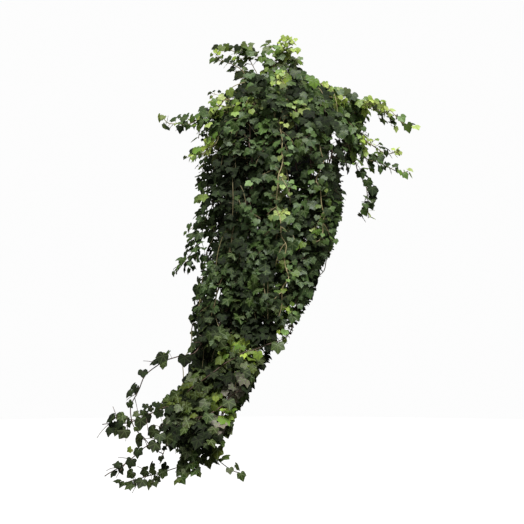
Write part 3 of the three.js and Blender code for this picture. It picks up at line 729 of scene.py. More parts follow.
# name, azimuth and distance of its foot, tone, then its route from there
CROWN_STEMS = (
    ("crown_peak", 200, 0.018, "young",
     ((-26, -8, 40), (-38, -14, 110), (-28, -22, 166), (-10, -28, 208), (38, -28, 234))),
    ("crown_peak_back", 60, 0.022, "full",
     ((22, 22, 50), (28, 34, 112), (30, 34, 170), (44, 28, 204))),
    ("crown_left_high", 186, 0.046, "full",
     ((-66, -10, 50), (-112, -16, 124), (-158, -28, 172), (-218, -40, 184))),
    ("crown_left_back", 150, 0.036, "young",
     ((-50, 24, 60), (-66, 34, 136), (-92, 42, 204), (-150, 40, 230), (-222, 32, 238))),
    ("crown_left", 164, 0.044, "full", ((-84, 14, 56), (-128, 14, 90), (-176, 8, 72), (-210, -2, 26))),
    ("crown_left_front", 224, 0.044, "full",
     ((-50, -52, 50), (-90, -82, 88), (-138, -108, 74), (-172, -126, 28))),
    ("crown_front", 262, 0.042, "young", ((-8, -62, 52), (-14, -106, 88), (-22, -154, 72), (-28, -188, 22))),
    ("crown_front_right", 300, 0.042, "young",
     ((34, -54, 56), (62, -98, 92), (94, -142, 76), (116, -172, 28))),
    ("crown_middle", 290, 0.020, "full", ((12, -32, 50), (22, -50, 98), (44, -66, 136))),
    ("crown_right", 350, 0.044, "young", ((62, -8, 56), (108, -18, 94), (160, -34, 88), (198, -46, 62))),
    ("crown_right_back", 42, 0.040, "full", ((50, 42, 56), (90, 68, 94), (138, 94, 80), (168, 112, 40))),
    ("crown_back", 112, 0.042, "full", ((-22, 62, 56), (-38, 106, 90), (-54, 152, 72), (-62, 184, 26))),
)  # fmt: skip


def trailing_routes():
    """Name, tone and route points of each long stem in front."""
    for i, (name, azimuth, reach, until, tone, end) in enumerate(TRAILING_STEMS):
        start = curtain_route(azimuth, TRAILING_ROOTS[i % 3], reach, until, seeded_draws(300 + i))
        yield name, tone, [*start, *at(end)]


def side_routes():
    """Name, tone and route points of each stem that leaves the crown to one side."""
    for i, (name, azimuth, arch, tone, end) in enumerate(SIDE_STEMS):
        yield name, tone, [*over_rim(azimuth, SIDE_ROOTS[i % 2], arch), *at(end)]


def crown_routes():
    """Name, tone and route points of each shoot of the crown."""
    for name, azimuth, root, tone, end in CROWN_STEMS:
        yield name, tone, [compass(azimuth, root, soil_top(root) + STEM_FOOT), *at(end)]


def curtain_routes():
    """Name, tone and route points of each hanging stem."""
    rings = [(ring, azimuth) for ring in CURTAIN_RINGS for azimuth in ring["azimuths"]]
    for i, (ring, azimuth) in enumerate(rings):
        draws = seeded_draws(100 + i)
        long = math.cos(math.radians(azimuth - CURTAIN_LONG_SIDE))
        lowest = CURTAIN_LOWEST + CURTAIN_LONG_EXTRA * long + CURTAIN_CHANCE_EXTRA * next(draws)
        points = curtain_route(azimuth, ring["root"], ring["reach"], lowest, draws)
        yield f"curtain_stem_{i + 1:02d}", ring["tone"], points


# ---- Shoots: a line of points with leaves along it ----


@dataclass
class Shoot:
    """A stem or side shoot: its even line of points, its radii, and how long its young end is."""

    line: list
    foot_radius: float
    tip_radius: float
    young_length: float
    bare_foot: float
    leaf_scale: float
    tip_leaf: float
    edges: tuple
    end: float = 0.0
    end_spacing: float = 1.0
    spacing: float = 1.0
    age: float = 1.0
    thinned: bool = False

    @property
    def length(self):
        """The length of the line."""
        return (len(self.line) - 1) * ROUTE_STEP

    def along(self, distance):
        """The point and the direction at a distance from the foot."""
        i = min(len(self.line) - 2, max(0, int(distance / ROUTE_STEP)))
        start, end = self.line[i], self.line[i + 1]
        return start.lerp(end, distance / ROUTE_STEP - i), (end - start).normalized()


def evenly(points, step):
    """Points at even steps along a line of straight pieces."""
    line = [points[0]]
    left = step
    for start, end in zip(points, points[1:]):
        piece = (end - start).length
        done = left
        while done <= piece:
            line.append(start.lerp(end, done / piece))
            done += step
        left = done - piece
    return line


def smoothed(points):
    """A smooth line through the points, in even steps."""
    before = points[0] * 2 - points[1]
    after = points[-1] * 2 - points[-2]
    run = [before, *points, after]
    fine = [points[0]]
    for p0, p1, p2, p3 in zip(run, run[1:], run[2:], run[3:]):
        fine += interpolate_bezier(p1, p1 + (p2 - p0) / 6, p2 - (p3 - p1) / 6, p2, 16)[1:]
    return evenly(fine, ROUTE_STEP)


HEART_DROP = 0.07


def heart_at(point):
    """The middle of the plant a little below a point, and how narrow it has become there."""
    x, y, narrowing = sweep(-point.z)
    return Vector((x, y, min(point.z, 0) - HEART_DROP)), narrowing


def outward_at(point):
    """The way out of the plant at a point: away from the curtain's middle, and a little up."""
    return (point - heart_at(point)[0]).normalized()


def jitter(rng, size):
    """A small random vector."""
    return Vector([rng.uniform(-0.5, 0.5) * size for _ in range(3)])


ALL_EDGES = ("left", "right", "top")


@dataclass
class Habit:
    """How one group of stems grows."""

    leaf_scale: float  # the size of its leaves
    tip_leaf: float  # the size of a leaf at a tip, as a share of that
    shoot_spacing: float  # the distance from one side shoot to the next
    shoot_span: float  # the length of a side shoot, as a share of the usual one
    outward: tuple  # how far side shoots lean outwards
    sag: tuple  # how much they sag
    bare_end: float  # the length of the last stretch, which has no side shoots
    end_spacing: float = 1.0  # how much further apart the leaves are there
    edges: tuple = ()  # the edges of the outline that its leaves keep to
    shoot_edges: tuple = ()  # the edges that its side shoots keep to
    spacing: float = 1.0  # how much further apart all its leaves are
    trailers: float = 0.0  # the share of side shoots that are long and mostly bare
    age: float = 1.0  # how old its leaves look
    thinned: bool = False  # whether its side shoots leave the dark hollows free
    woody: bool = False  # whether its stems are brown and woody all along
    spread: float = 0.5  # how much its side shoots spread
    comes_out_at: float = None  # the height below which a stem under the others comes out


TOP = ("top",)
SIDES = ("left", "right")
HABITS = {
    "crown": Habit(
        1.04, 0.8, 0.026, 0.75, (-0.2, 0.5), (0.01, 0.07), 0.02,
        edges=TOP, shoot_edges=TOP, trailers=0.12, thinned=True,
    ),
    "peak": Habit(
        1.05, 0.8, 0.012, 0.85, (-0.6, 1.0), (-0.05, 0.04), 0.00, 0.8,
        edges=TOP, shoot_edges=TOP, spacing=0.72, age=0.75, spread=1.7,
    ),
    "spray": Habit(0.90, 0.85, 0.026, 0.40, (-0.2, 0.4), (0.00, 0.06), 0.02, 0.8, age=0.75),
    "bushy": Habit(0.95, 0.85, 0.013, 0.50, (-0.4, 0.6), (0.00, 0.06), 0.09, 0.8, age=0.8),
    "arm": Habit(0.88, 0.85, 0.024, 0.36, (-0.2, 0.4), (0.00, 0.06), 0.08, 1.0, spacing=0.8, age=0.8),
    "side": Habit(1.04, 0.8, 0.024, 0.65, (-0.3, 0.6), (0.01, 0.07), 0.07, 1.2, edges=TOP, shoot_edges=TOP),
    "wing": Habit(1.10, 0.8, 0.012, 0.90, (-0.5, 0.6), (0.02, 0.08), 0.09, edges=TOP, shoot_edges=TOP),
    "drip": Habit(1.05, 0.8, 0.022, 0.65, (-1.0, 0.5), (0.03, 0.10), 0.04),
    "strand": Habit(
        0.74, 0.7, 0.060, 0.60, (-0.1, 0.4), (0.12, 0.30), 0.03, spacing=1.2, age=0.7, comes_out_at=-0.14
    ),
    "trailing": Habit(
        0.90, 0.7, 0.040, 0.9, (-0.4, 0.7), (0.06, 0.15), 0.44, 2.4,
        edges=("right",), shoot_edges=SIDES, woody=True,
    ),
    "low": Habit(
        1.04, 0.8, 0.022, 0.9, (-0.3, 0.6), (0.06, 0.15), 0.13, 1.9,
        edges=("right",), shoot_edges=SIDES, woody=True,
    ),
    "curtain": Habit(
        1.00, 0.7, 0.021, 1.0, (-0.9, 0.7), (0.06, 0.15), 0.00,
        edges=ALL_EDGES, shoot_edges=ALL_EDGES, spacing=0.9, trailers=0.18, thinned=True,
    ),
}  # fmt: skip
OWN_HABITS = {
    "peak": ("crown_peak", "crown_peak_back"),
    "spray": ("crown_left_high",),
    "bushy": ("crown_left_back",),
    "arm": ("arm_left", "arm_right_middle", "arm_right_low"),
    "wing": ("shoulder_right", "shoulder_right_front", "shoulder_right_back", "arm_right_high"),
    "drip": ("drip_left", "drip_right", "shoulder_left", "shoulder_left_front", "shoot_left_bright"),
    "strand": ("bright_stem_front", "bright_stem_right_front"),
    "low": ("trailing_stem_bottom_front",),
}
HABIT_OF = {name: habit for habit, names in OWN_HABITS.items() for name in names}

# How a stem of each tone grows: how long its young end is, the same for a side shoot, and how far it wanders.
YOUNG_LENGTHS = {"young": 0.10, "full": 0.05, "old": 0.02}
YOUNG_SIDE_LENGTHS = {"young": 0.02, "full": 0.01, "old": 0.001}
WANDER = {"young": 0.020, "full": 0.014, "old": 0.012}
WANDER_SCALE = 17
WANDER_SHIFTS = (Vector((3.1, 5.5, 1.9)), Vector((-4.2, 2.6, 8.4)), Vector((7.7, -6.3, 0.7)))
STRAIGHT_POINTS = 8

# How deep a stem under the others lies, from which point on, and how gently it goes in and comes out.
TUCK = 0.030
TUCK_START = 12
TUCK_POINTS = 6
TUCK_EASE = 0.03

# A stem's part in the soil, its thinner foot while young, and the stretches without leaves above it.
FOOT_DEPTH = 0.024
YOUNG_FOOT = 0.65
BARE_FOOT = 0.035
SHOOT_BARE_FOOT = 0.012


def side_shoot(stem, tone, distance, hand, habit, settings, rng):
    """A short shoot that leaves a stem outwards and to one side, and then hangs."""
    point, tangent = stem.along(distance)
    outward = outward_at(point)
    side = tangent.cross(outward).normalized() * hand
    heading = outward * rng.uniform(*habit.outward) + side * rng.uniform(0.4, 1.0) + tangent * 0.5
    heading = (heading + jitter(rng, habit.spread)).normalized()
    sag = rng.uniform(*habit.sag)
    span = settings.stems.shoot_length * habit.shoot_span * rng.uniform(0.45, 1.35)
    bare = SHOOT_BARE_FOOT
    if rng.random() < habit.trailers:
        heading = (heading + outward * 0.5).normalized()
        sag += 0.25
        span = settings.stems.shoot_length * rng.uniform(1.2, 2.2)
        bare = span * rng.uniform(0.5, 0.9)
    line = [point]
    for _ in range(max(2, round(span / ROUTE_STEP))):
        heading = (heading - UP * sag + jitter(rng, 0.1)).normalized()
        line.append(line[-1] + heading * ROUTE_STEP)
    radius = settings.stems.shoot_radius
    scale = stem.leaf_scale * 0.96
    young = YOUNG_SIDE_LENGTHS[tone]
    edges = habit.shoot_edges
    return Shoot(
        line, radius, radius * 0.6, young, bare, scale, habit.tip_leaf, edges,
        spacing=habit.spacing, age=habit.age, thinned=habit.thinned,
    )  # fmt: skip


def main_shoot(points, tone, settings, habit):
    """The stem itself, which starts in the soil."""
    foot = points[0] - UP * FOOT_DEPTH
    stems = settings.stems
    line = [foot, *wandering(smoothed(points), tone)]
    if habit.comes_out_at is not None:
        line = tucked_in(line, habit.comes_out_at)
    foot_radius = stems.foot_radius * (YOUNG_FOOT if tone == "young" else 1.0)
    return Shoot(
        line, foot_radius, stems.tip_radius, YOUNG_LENGTHS[tone], BARE_FOOT, habit.leaf_scale,
        habit.tip_leaf, habit.edges, habit.bare_end, habit.end_spacing, habit.spacing, habit.age,
    )  # fmt: skip


def wandering(line, tone):
    """The same line with the small bends of a grown stem, past its first part."""
    moved = line[:STRAIGHT_POINTS]
    for point in line[STRAIGHT_POINTS:]:
        drift = [noise.noise(point * WANDER_SCALE + shift) for shift in WANDER_SHIFTS]
        moved.append(point + Vector(drift) * WANDER[tone])
    return moved


def tucked_in(line, height):
    """The same line with its upper part, past its foot, set deeper in the plant down to a height."""
    moved = line[:TUCK_START]
    for i, point in enumerate(line[TUCK_START:]):
        share = min(1.0, i / TUCK_POINTS) * smoothstep(point.z, height - TUCK_EASE, height + TUCK_EASE)
        moved.append(point - outward_at(point) * TUCK * share)
    return moved


# ---- Leaves on shoots ----


ROOM_CELL = 0.03


class Room:
    """Which places already hold a blade."""

    def __init__(self, cell):
        self.cell = cell
        self.cells = {}

    def key(self, point):
        """The cell that a point is in."""
        return tuple(math.floor(c / self.cell) for c in point)

    def clearance(self, point):
        """The distance to the nearest blade, up to one cell."""
        x, y, z = self.key(point)
        nearest = self.cell
        for i in (x - 1, x, x + 1):
            for j in (y - 1, y, y + 1):
                for k in (z - 1, z, z + 1):
                    for other in self.cells.get((i, j, k), ()):
                        nearest = min(nearest, (other - point).length)
        return nearest

    def take(self, point):
        """Notes a blade."""
        self.cells.setdefault(self.key(point), []).append(point)


# ---- Where leaves may be ----

HOLDER_CLEARANCE = 0.012
RIM_CLEARANCE = 0.008
SOIL_CLEARANCE = 0.010


def in_holder(point):
    """True in the pot, in its soil and just round them."""
    radius = math.hypot(point.x, point.y)
    if radius > RIM_RADIUS + HOLDER_CLEARANCE or point.z < -POT_HEIGHT - HOLDER_CLEARANCE:
        return False
    if point.z < RIM_CLEARANCE and radius > POT_TOP_RADIUS - HOLDER_CLEARANCE:
        return True
    return point.z < soil_top(min(radius, 0.1)) + SOIL_CLEARANCE


# The outline that the camera sees, on the upright plane through the pot's axis: the right and left edges
# as (height, X) and the top as (X, height). Leaves that would show beyond an edge of their group are
# trimmed off, and so are all that would hide a gap, given as (X, height, half width, half height).
EDGES = {
    "right": (
        (-0.15, 0.220), (-0.20, 0.203), (-0.30, 0.193), (-0.36, 0.167), (-0.45, 0.142), (-0.50, 0.110),
        (-0.60, 0.078), (-0.65, 0.052), (-0.70, 0.026), (-0.74, -0.008), (-0.80, -0.063), (-0.85, -0.103),
        (-0.89, -0.110), (-0.95, -0.158), (-1.04, -0.168), (-1.10, -0.188),
    ),
    "left": (
        (0.04, -0.230), (-0.04, -0.228), (-0.10, -0.236), (-0.20, -0.228), (-0.30, -0.222),
        (-0.40, -0.225), (-0.50, -0.236), (-0.56, -0.265), (-0.66, -0.268), (-0.80, -0.264),
        (-0.86, -0.285), (-0.90, -0.345), (-0.97, -0.345), (-1.03, -0.330), (-1.15, -0.310),
    ),
    "top": (
        (-0.30, 0.020), (-0.25, 0.050), (-0.20, 0.060), (-0.15, 0.085), (-0.122, 0.110), (-0.118, 0.245),
        (-0.055, 0.245), (-0.028, 0.252), (-0.018, 0.278), (0.030, 0.284), (0.054, 0.266), (0.064, 0.190),
        (0.075, 0.145), (0.10, 0.110), (0.16, 0.105), (0.20, 0.085), (0.25, 0.060), (0.28, 0.078),
        (0.32, 0.055), (0.36, 0.022), (0.45, -0.010),
    ),
}  # fmt: skip
GAPS = (
    (0.166, -0.072, 0.021, 0.034), (0.153, -0.130, 0.012, 0.032), (0.105, -0.193, 0.024, 0.014),
    (0.236, -0.205, 0.018, 0.044), (-0.205, -0.575, 0.020, 0.028), (-0.085, 0.172, 0.032, 0.024),
)  # fmt: skip
EDGE_STRAY = {"left": 0.050, "right": 0.012, "top": 0.030}


def seen_at(point):
    """Where the camera sees a point against the upright plane through the pot's axis."""
    eye = Vector(CAMERA_PLACE) - Vector((0, 0, RIM_TOP))
    return eye + (point - eye) * (eye.y / (eye.y - point.y))


def edge_at(edge, place):
    """How far an edge lies at a place along it, or None beyond its ends."""
    for (first, start), (last, end) in zip(edge, edge[1:]):
        if min(first, last) <= place <= max(first, last):
            return start + (end - start) * (place - first) / (last - first)
    return None


def past_edge(side, seen, stray):
    """True where a seen point lies beyond one edge of the outline."""
    along, across = (seen.x, seen.z) if side == "top" else (seen.z, seen.x)
    limit = edge_at(EDGES[side], along)
    if limit is None:
        return False
    return across < limit - stray if side == "left" else across > limit + stray


# Stems whose bare wood shows in front of the leaves, between two heights.
SHOWN_STEMS = {
    "bright_stem_front": (-0.15, -0.70),
    "bright_stem_right_front": (-0.22, -0.45),
    "trailing_stem_cross_high": (-0.69, -0.90),
    "trailing_stem_cross_low": (-0.85, -1.02),
}
SHOWN_CLEARANCE = 0.0095
SHOWN_DEPTH = 0.02


def shown_places():
    """Points along each stem that shows, as the camera sees them, with how far back they are."""
    for name, tone, points in (*side_routes(), *trailing_routes(), *curtain_routes()):
        top, bottom = SHOWN_STEMS.get(name, (0, 0))
        line = [point for point in wandering(smoothed(points), tone) if bottom < point.z < top]
        yield from ((seen_at(point), point.y) for point in line)


def hides_shown(point, seen):
    """True for a point that stands in front of a stem that shows."""
    if "shown" not in SHARED:
        SHARED["shown"] = list(shown_places())
    shown = SHARED["shown"]
    return any(point.y < y + SHOWN_DEPTH and (seen - place).length < SHOWN_CLEARANCE for place, y in shown)


# The furthest left and down that any leaf shows.
LAST_SEEN = (-0.535, -1.160)


def trimmed_off(point, edges, rng):
    """True where a leaf would show beyond some edges of the outline or in front of one of its gaps."""
    seen = seen_at(point)
    if seen.x < LAST_SEEN[0] or seen.z < LAST_SEEN[1]:
        return True
    stray = rng.random() - 0.5
    if any(past_edge(side, seen, stray * EDGE_STRAY[side]) for side in edges):
        return True
    if edges and hides_shown(point, seen):
        return True
    return any(((seen.x - x) / wide) ** 2 + ((seen.z - z) / high) ** 2 < 1 for x, z, wide, high in GAPS)


# ---- Where leaves are new, crowded, dry or in shade ----

# Where the newest leaves sit in clusters, as (X, height, radius) on that same plane: their colour is young
# and gets painted light, and they are smaller.
NEW_GROWTH = (
    (0.02, 0.250, 0.045), (0.00, 0.140, 0.035), (-0.22, 0.220, 0.020), (-0.21, 0.055, 0.045),
    (-0.16, 0.045, 0.040), (-0.09, 0.045, 0.042), (0.05, 0.035, 0.040), (0.01, -0.020, 0.030),
    (0.160, 0.105, 0.025), (0.19, 0.055, 0.035), (0.30, 0.040, 0.050), (0.35, 0.030, 0.030),
    (-0.23, -0.100, 0.055), (-0.29, -0.155, 0.040), (0.28, -0.085, 0.045), (0.37, -0.100, 0.030),
    (0.28, -0.320, 0.035), (0.31, -0.230, 0.025), (-0.27, -0.250, 0.035), (0.00, -0.190, 0.030),
    (-0.01, -0.245, 0.030), (0.00, -0.315, 0.032), (0.00, -0.480, 0.026), (0.00, -0.550, 0.032),
    (0.10, -0.370, 0.024), (0.06, -0.410, 0.022), (0.02, -0.620, 0.026), (0.00, -0.695, 0.040),
    (-0.10, -0.760, 0.040), (-0.13, -0.725, 0.035), (-0.19, -0.760, 0.025), (-0.20, -0.890, 0.035),
    (-0.18, -0.940, 0.030), (-0.39, -0.930, 0.025), (-0.47, -1.060, 0.030), (-0.15, -1.080, 0.030),
)  # fmt: skip
# Where the plant is in deep shade, in the same way: leaves there get painted shade, and more of the outer
# ones are left out to make hollows.
SHADE = (
    (-0.120, -0.050, 0.060), (-0.165, -0.180, 0.085), (-0.170, -0.290, 0.065), (-0.220, -0.360, 0.055),
    (-0.225, -0.430, 0.045), (-0.040, 0.070, 0.050), (0.150, 0.010, 0.040), (0.100, 0.000, 0.045),
    (0.030, 0.090, 0.040), (0.190, -0.140, 0.045), (0.170, -0.220, 0.045), (0.080, -0.330, 0.035),
    (0.030, -0.270, 0.030), (-0.050, -0.670, 0.060), (-0.130, -0.690, 0.045), (-0.220, -0.660, 0.055),
    (-0.160, -0.810, 0.035), (-0.170, -1.000, 0.055), (-0.260, -1.000, 0.050), (0.090, -0.530, 0.035),
    (0.040, -0.460, 0.035), (-0.100, -0.390, 0.030), (-0.130, -0.560, 0.035), (-0.060, -0.220, 0.025),
)  # fmt: skip
# Where the leaves of the loose sprays crowd together, in the same way.
CLUSTERS = (
    (-0.377, -0.790, 0.030), (-0.425, -0.862, 0.020), (-0.449, -0.890, 0.020), (-0.440, -0.935, 0.040),
    (-0.382, -0.940, 0.045), (-0.310, -0.935, 0.080), (-0.505, -0.970, 0.045), (-0.377, -1.005, 0.045),
    (-0.320, -0.990, 0.040), (-0.330, -1.056, 0.045), (-0.468, -1.070, 0.030), (-0.354, -1.080, 0.035),
    (-0.310, -1.085, 0.040), (-0.262, -1.093, 0.045), (-0.495, -1.117, 0.030), (-0.400, -1.125, 0.050),
    (-0.462, -1.117, 0.025),
)  # fmt: skip
# Where a few leaves have dried.
DRY = ((-0.155, -0.865, 0.045), (-0.045, -0.368, 0.016), (-0.195, -0.975, 0.030), (-0.125, -0.835, 0.025))


def nearness(point, spots):
    """How near a point looks to the middle of one of some spots, from 0 to 1."""
    seen = seen_at(point)
    return max(0.0, *(1 - math.hypot(seen.x - x, seen.z - z) / radius for x, z, radius in spots))


def shadiness(point):
    """How deep in shade a point is, from 0 to 1."""
    return smoothstep(nearness(point, SHADE), 0.0, 0.6)


def crowding(point):
    """How closely the leaves of a loose spray stand at a point, from 0 to 1."""
    return smoothstep(nearness(point, CLUSTERS), 0.0, 0.5)


def dryness(point):
    """1 for a dried leaf and 0 for any other."""
    return 1.0 if nearness(point, DRY) > 0.35 else 0.0


def freshness(point):
    """How near a point is to the middle of a cluster of new leaves, from 0 to 1."""
    return nearness(point, NEW_GROWTH)


BOX_LOW, BOX_HIGH = (Vector(corner) - TO_FRAME.translation for corner in CAD_BOX)
BOX_ALLOWANCE = 0.012


def beyond_box(point):
    """True outside the part's own size, with a little allowance."""
    low = min(p - q for p, q in zip(point, BOX_LOW))
    high = min(q - p for p, q in zip(point, BOX_HIGH))
    return min(low, high) < -BOX_ALLOWANCE


HOLLOW_FROM = 0.18
HOLLOW_START = 0.185
HOLLOW_SPAN = 0.16
HOLLOW_IN_SHADE = 0.28
HOLLOW_SCALES = (17, 7)
# the scales, across and down, of the noise that paints shade into the folds of the foliage
FOLD_SCALES = (15, 6)


def noise_in(point, across, down):
    """Smooth noise at a point, whose scale is not the same across and down."""
    return noise.noise(Vector((point.x * across, point.y * across, point.z * down)))


def in_hollow(point):
    """True in the dark hollows between the outer sprays of leaves."""
    heart, narrowing = heart_at(point)
    if point.y > heart.y or (point - heart).length < HOLLOW_START * narrowing + 0.01:
        return False
    if abs(point.x - heart.x) > HOLLOW_SPAN * narrowing:
        return False
    return noise_in(point, *HOLLOW_SCALES) + HOLLOW_IN_SHADE * shadiness(point) > HOLLOW_FROM


# ---- Leaves ----


def smoothstep(value, low, high):
    """0 below low, 1 above high, and smooth between."""
    part = max(0.0, min(1.0, (value - low) / (high - low)))
    return part * part * (3 - 2 * part)


TOWARDS_LIGHT = Vector((-0.1, -0.7, 0.45))
TOWARDS_FRONT = Vector((0.0, -1.0, -0.2))


@dataclass
class Leaf:
    """Where one leaf is: the root of its stalk, its base, the axes of its blade, its width and its age."""

    root: Vector
    base: Vector
    across: Vector
    along: Vector
    normal: Vector
    width: float
    age: float

    def spot(self, share):
        """The point of the blade that is a share of its width from its base towards its tip."""
        return self.base + self.along * self.width * share


def age_at(shoot, distance):
    """How full-grown the leaves are at a distance along a shoot, from 0 to 1."""
    return smoothstep(shoot.length - distance, -0.02, 0.09)


STALK_OUT = 0.75
STALK_ASIDE = 0.75
STALK_UP = 0.2
STALK_STRAY = 0.6
BLADE_OUT = 0.6
BLADE_ASIDE = 0.2
BLADE_STRAY = 1.5
LEAST_LIGHT = 0.3
WIDTHS = (0.6, 1.18)
REACHES = (0.55, 1.35)
FRESH_SHRINK = 0.35
LOW_GROWTH = 0.18


def leaf_place(shoot, distance, hand, swing, leaves, rng):
    """One leaf at a distance along a shoot, on one side of it, with its stalk swung aside."""
    point, tangent = shoot.along(distance)
    outward = outward_at(point)
    side = tangent.cross(outward)
    side = side.normalized() * hand if side.length > 0.05 else tangent.orthogonal().normalized() * hand
    age = age_at(shoot, distance)
    stalk = outward * STALK_OUT + side * (STALK_ASIDE + swing) + UP * STALK_UP
    stalk += tangent * max(0, 0.5 - age) * 1.2
    stalk = (stalk + jitter(rng, STALK_STRAY)).normalized()
    turned = TOWARDS_LIGHT * max(LEAST_LIGHT, 1 - max(0, outward.y))
    turned += TOWARDS_FRONT * smoothstep(point.z, -0.05, 0.1)
    normal = (outward * BLADE_OUT + turned + side * BLADE_ASIDE + jitter(rng, BLADE_STRAY)).normalized()
    while normal.dot(stalk) < 0.0:
        normal = (normal + stalk * 0.2).normalized()
    tip = side * 0.5 - UP * 0.8 + outward * 0.35 + tangent * 0.3 + jitter(rng, 0.6)
    along = (tip - normal * tip.dot(normal)).normalized()
    grown = shoot.tip_leaf + (1 - shoot.tip_leaf) * age
    width = leaves.width * shoot.leaf_scale * grown * rng.uniform(*WIDTHS)
    shrunk = FRESH_SHRINK * smoothstep(freshness(point), 0.0, 0.5)
    width *= 1 - shrunk + LOW_GROWTH * smoothstep(-point.z, 0.6, 0.8)
    reach = leaves.petiole * (0.5 + 0.5 * age) * rng.uniform(*REACHES)
    return Leaf(point, point + stalk * reach, along.cross(normal), along, normal, width, age)


SWINGS = (0.0, 0.7, -0.7, 1.4, -1.4)
BLADE_MIDDLE = 0.3
BLADE_TIP = 0.75


def best_leaf(shoot, distance, hand, leaves, room, rng):
    """The leaf among a few that is furthest from the blades already there, or None where none may be."""
    best = None
    widest = -1.0
    for swing in SWINGS:
        leaf = leaf_place(shoot, distance, hand, swing, leaves, rng)
        middle = leaf.spot(BLADE_MIDDLE)
        tip = leaf.spot(BLADE_TIP)
        if in_holder(middle) or in_holder(tip) or beyond_box(tip) or trimmed_off(middle, shoot.edges, rng):
            continue
        if shoot.thinned and in_hollow(middle):
            continue
        clear = room.clearance(middle)
        if clear > widest:
            best, widest = leaf, clear
    if best is not None:
        room.take(best.spot(BLADE_MIDDLE))
    return best


def axes(x, y, z, origin):
    """The matrix that carries the unit axes to these, at this origin."""
    matrix = Matrix((x, y, z)).transposed().to_4x4()
    matrix.translation = origin
    return matrix


def stamp(bm, mesh, matrix):
    """Adds a copy of a mesh, placed by a matrix, and gives its number of vertices."""
    copy = mesh.copy()
    copy.transform(matrix)
    bm.from_mesh(copy)
    count = len(copy.vertices)
    bpy.data.meshes.remove(copy)
    return count


def stamp_stalk(bm, mesh, root, base):
    """Adds a stalk from a stem to the base of a blade, bowed upwards."""
    run = base - root
    reach = run.length
    z = run / reach
    bow = UP - z * UP.dot(z)
    x = bow.normalized() if bow.length > 0.1 else z.orthogonal().normalized()
    return stamp(bm, mesh, axes(x * reach, z.cross(x) * reach, z * reach, root))


YOUNG_UNTIL = 0.45
MIDDLE_UNTIL = 0.8
MIDDLE_SHARE = 0.75
OLD_SHARE = 0.55


def blade_for(kit, age, rng):
    """A young blade near a tip, and otherwise one with three or five lobes."""
    draw = rng.random()
    if age < YOUNG_UNTIL:
        return rng.choice(kit["young"])
    if age < MIDDLE_UNTIL:
        return rng.choice(kit["middle"] if draw < MIDDLE_SHARE else kit["young"])
    return rng.choice(kit["old"] if draw < OLD_SHARE else kit["middle"])


def stamp_leaf(bm, leaf, kit, rng):
    """Adds a blade and its stalk, and gives their number of vertices."""
    width = leaf.width
    matrix = axes(leaf.across * width, leaf.along * width, leaf.normal * width, leaf.base)
    count = stamp(bm, blade_for(kit, leaf.age, rng), matrix)
    return count + stamp_stalk(bm, rng.choice(kit["stalks"]), leaf.root, leaf.base)


def leafed(bm, shoot, kit, leaves, room, rng):
    """Puts leaves on one shoot from its tip down, and gives (vertices, tone) of each thing added."""
    tones = []
    hand = rng.choice((-1, 1))
    distance = shoot.length - 0.003
    while distance > shoot.bare_foot:
        hand = -hand
        leaf = best_leaf(shoot, distance, hand, leaves, room, rng)
        if leaf is not None:
            aged = leaf_age(shoot, distance, leaf.base, rng)
            tone = (aged, light_at(leaf.base, rng), hue_at(leaf.base, rng), dryness(leaf.base))
            tones.append((stamp_leaf(bm, leaf, kit, rng), tone))
        apart = shoot.spacing
        if shoot.length - distance < shoot.end:
            apart *= shoot.end_spacing * (1 - 0.78 * crowding(shoot.along(distance)[0]))
        distance -= leaves.spacing * apart * (0.5 + 0.5 * age_at(shoot, distance)) * rng.uniform(0.6, 1.4)
    return tones


# How much painted light and painted shade a leaf's colour gets: painted shade in the folds, in the shade
# spots, low down and inside the plant, and more painted light on new growth and on dried leaves.
MIDDLE_LIGHT = 0.48
LIGHT_STRAY = 0.38
FOLD_DEPTH = 1.6
FRESH_LIGHT = 0.5
SHADE_DEPTH = 0.7
LOW_SHADE = 0.2
HEART_SHADE = 0.7
HEART_SIZE = (0.14, 0.20)
DRY_LIGHT = 0.35


def light_at(base, rng):
    """How much painted light a leaf's colour gets for its place, from 0, painted shade in the dark folds and
    the inside of the plant, to 1.
    """
    light = MIDDLE_LIGHT + noise_in(base, *FOLD_SCALES) * FOLD_DEPTH + rng.uniform(-LIGHT_STRAY, LIGHT_STRAY)
    light += FRESH_LIGHT * smoothstep(freshness(base), 0.0, 0.5)
    light -= SHADE_DEPTH * shadiness(base) + LOW_SHADE * smoothstep(-base.z, 0.5, 0.9)
    heart, narrowing = heart_at(base)
    inner, outer = HEART_SIZE
    light -= HEART_SHADE * (1 - smoothstep((base - heart).length, inner * narrowing, outer * narrowing))
    light += DRY_LIGHT * dryness(base)
    return max(0.0, min(1.0, light))


MIDDLE_HUE = 0.37
HUE_STRAY = 0.35
# the place, size and strength of the blue-grey in the middle of the front, partly the leaves' own tone and
# partly a painted sheen
COOL_AND_SHEEN_PLACE = (-0.05, -0.22)
COOL_AND_SHEEN_RADIUS = 0.14
COOL_AND_SHEEN_DEPTH = 0.35
LOW_WARMTH = 0.5
TOP_WARMTH = 0.3


def hue_at(base, rng):
    """How warm a leaf's green is, from 0 for blue-grey to 1 for olive: warmer low down and at the top, and
    cooler round one place in the middle of the front, where the blue-grey is partly a painted sheen.
    """
    seen = seen_at(base)
    x, z = COOL_AND_SHEEN_PLACE
    away = math.hypot(seen.x - x, (seen.z - z) * 0.5) / COOL_AND_SHEEN_RADIUS
    hue = MIDDLE_HUE + rng.uniform(-HUE_STRAY, HUE_STRAY) - COOL_AND_SHEEN_DEPTH * (1 - smoothstep(away, 0.3, 1.0))
    hue += LOW_WARMTH * smoothstep(-base.z, 0.55, 0.80) + TOP_WARMTH * smoothstep(base.z, 0.08, 0.16)
    return max(0.0, min(1.0, hue))


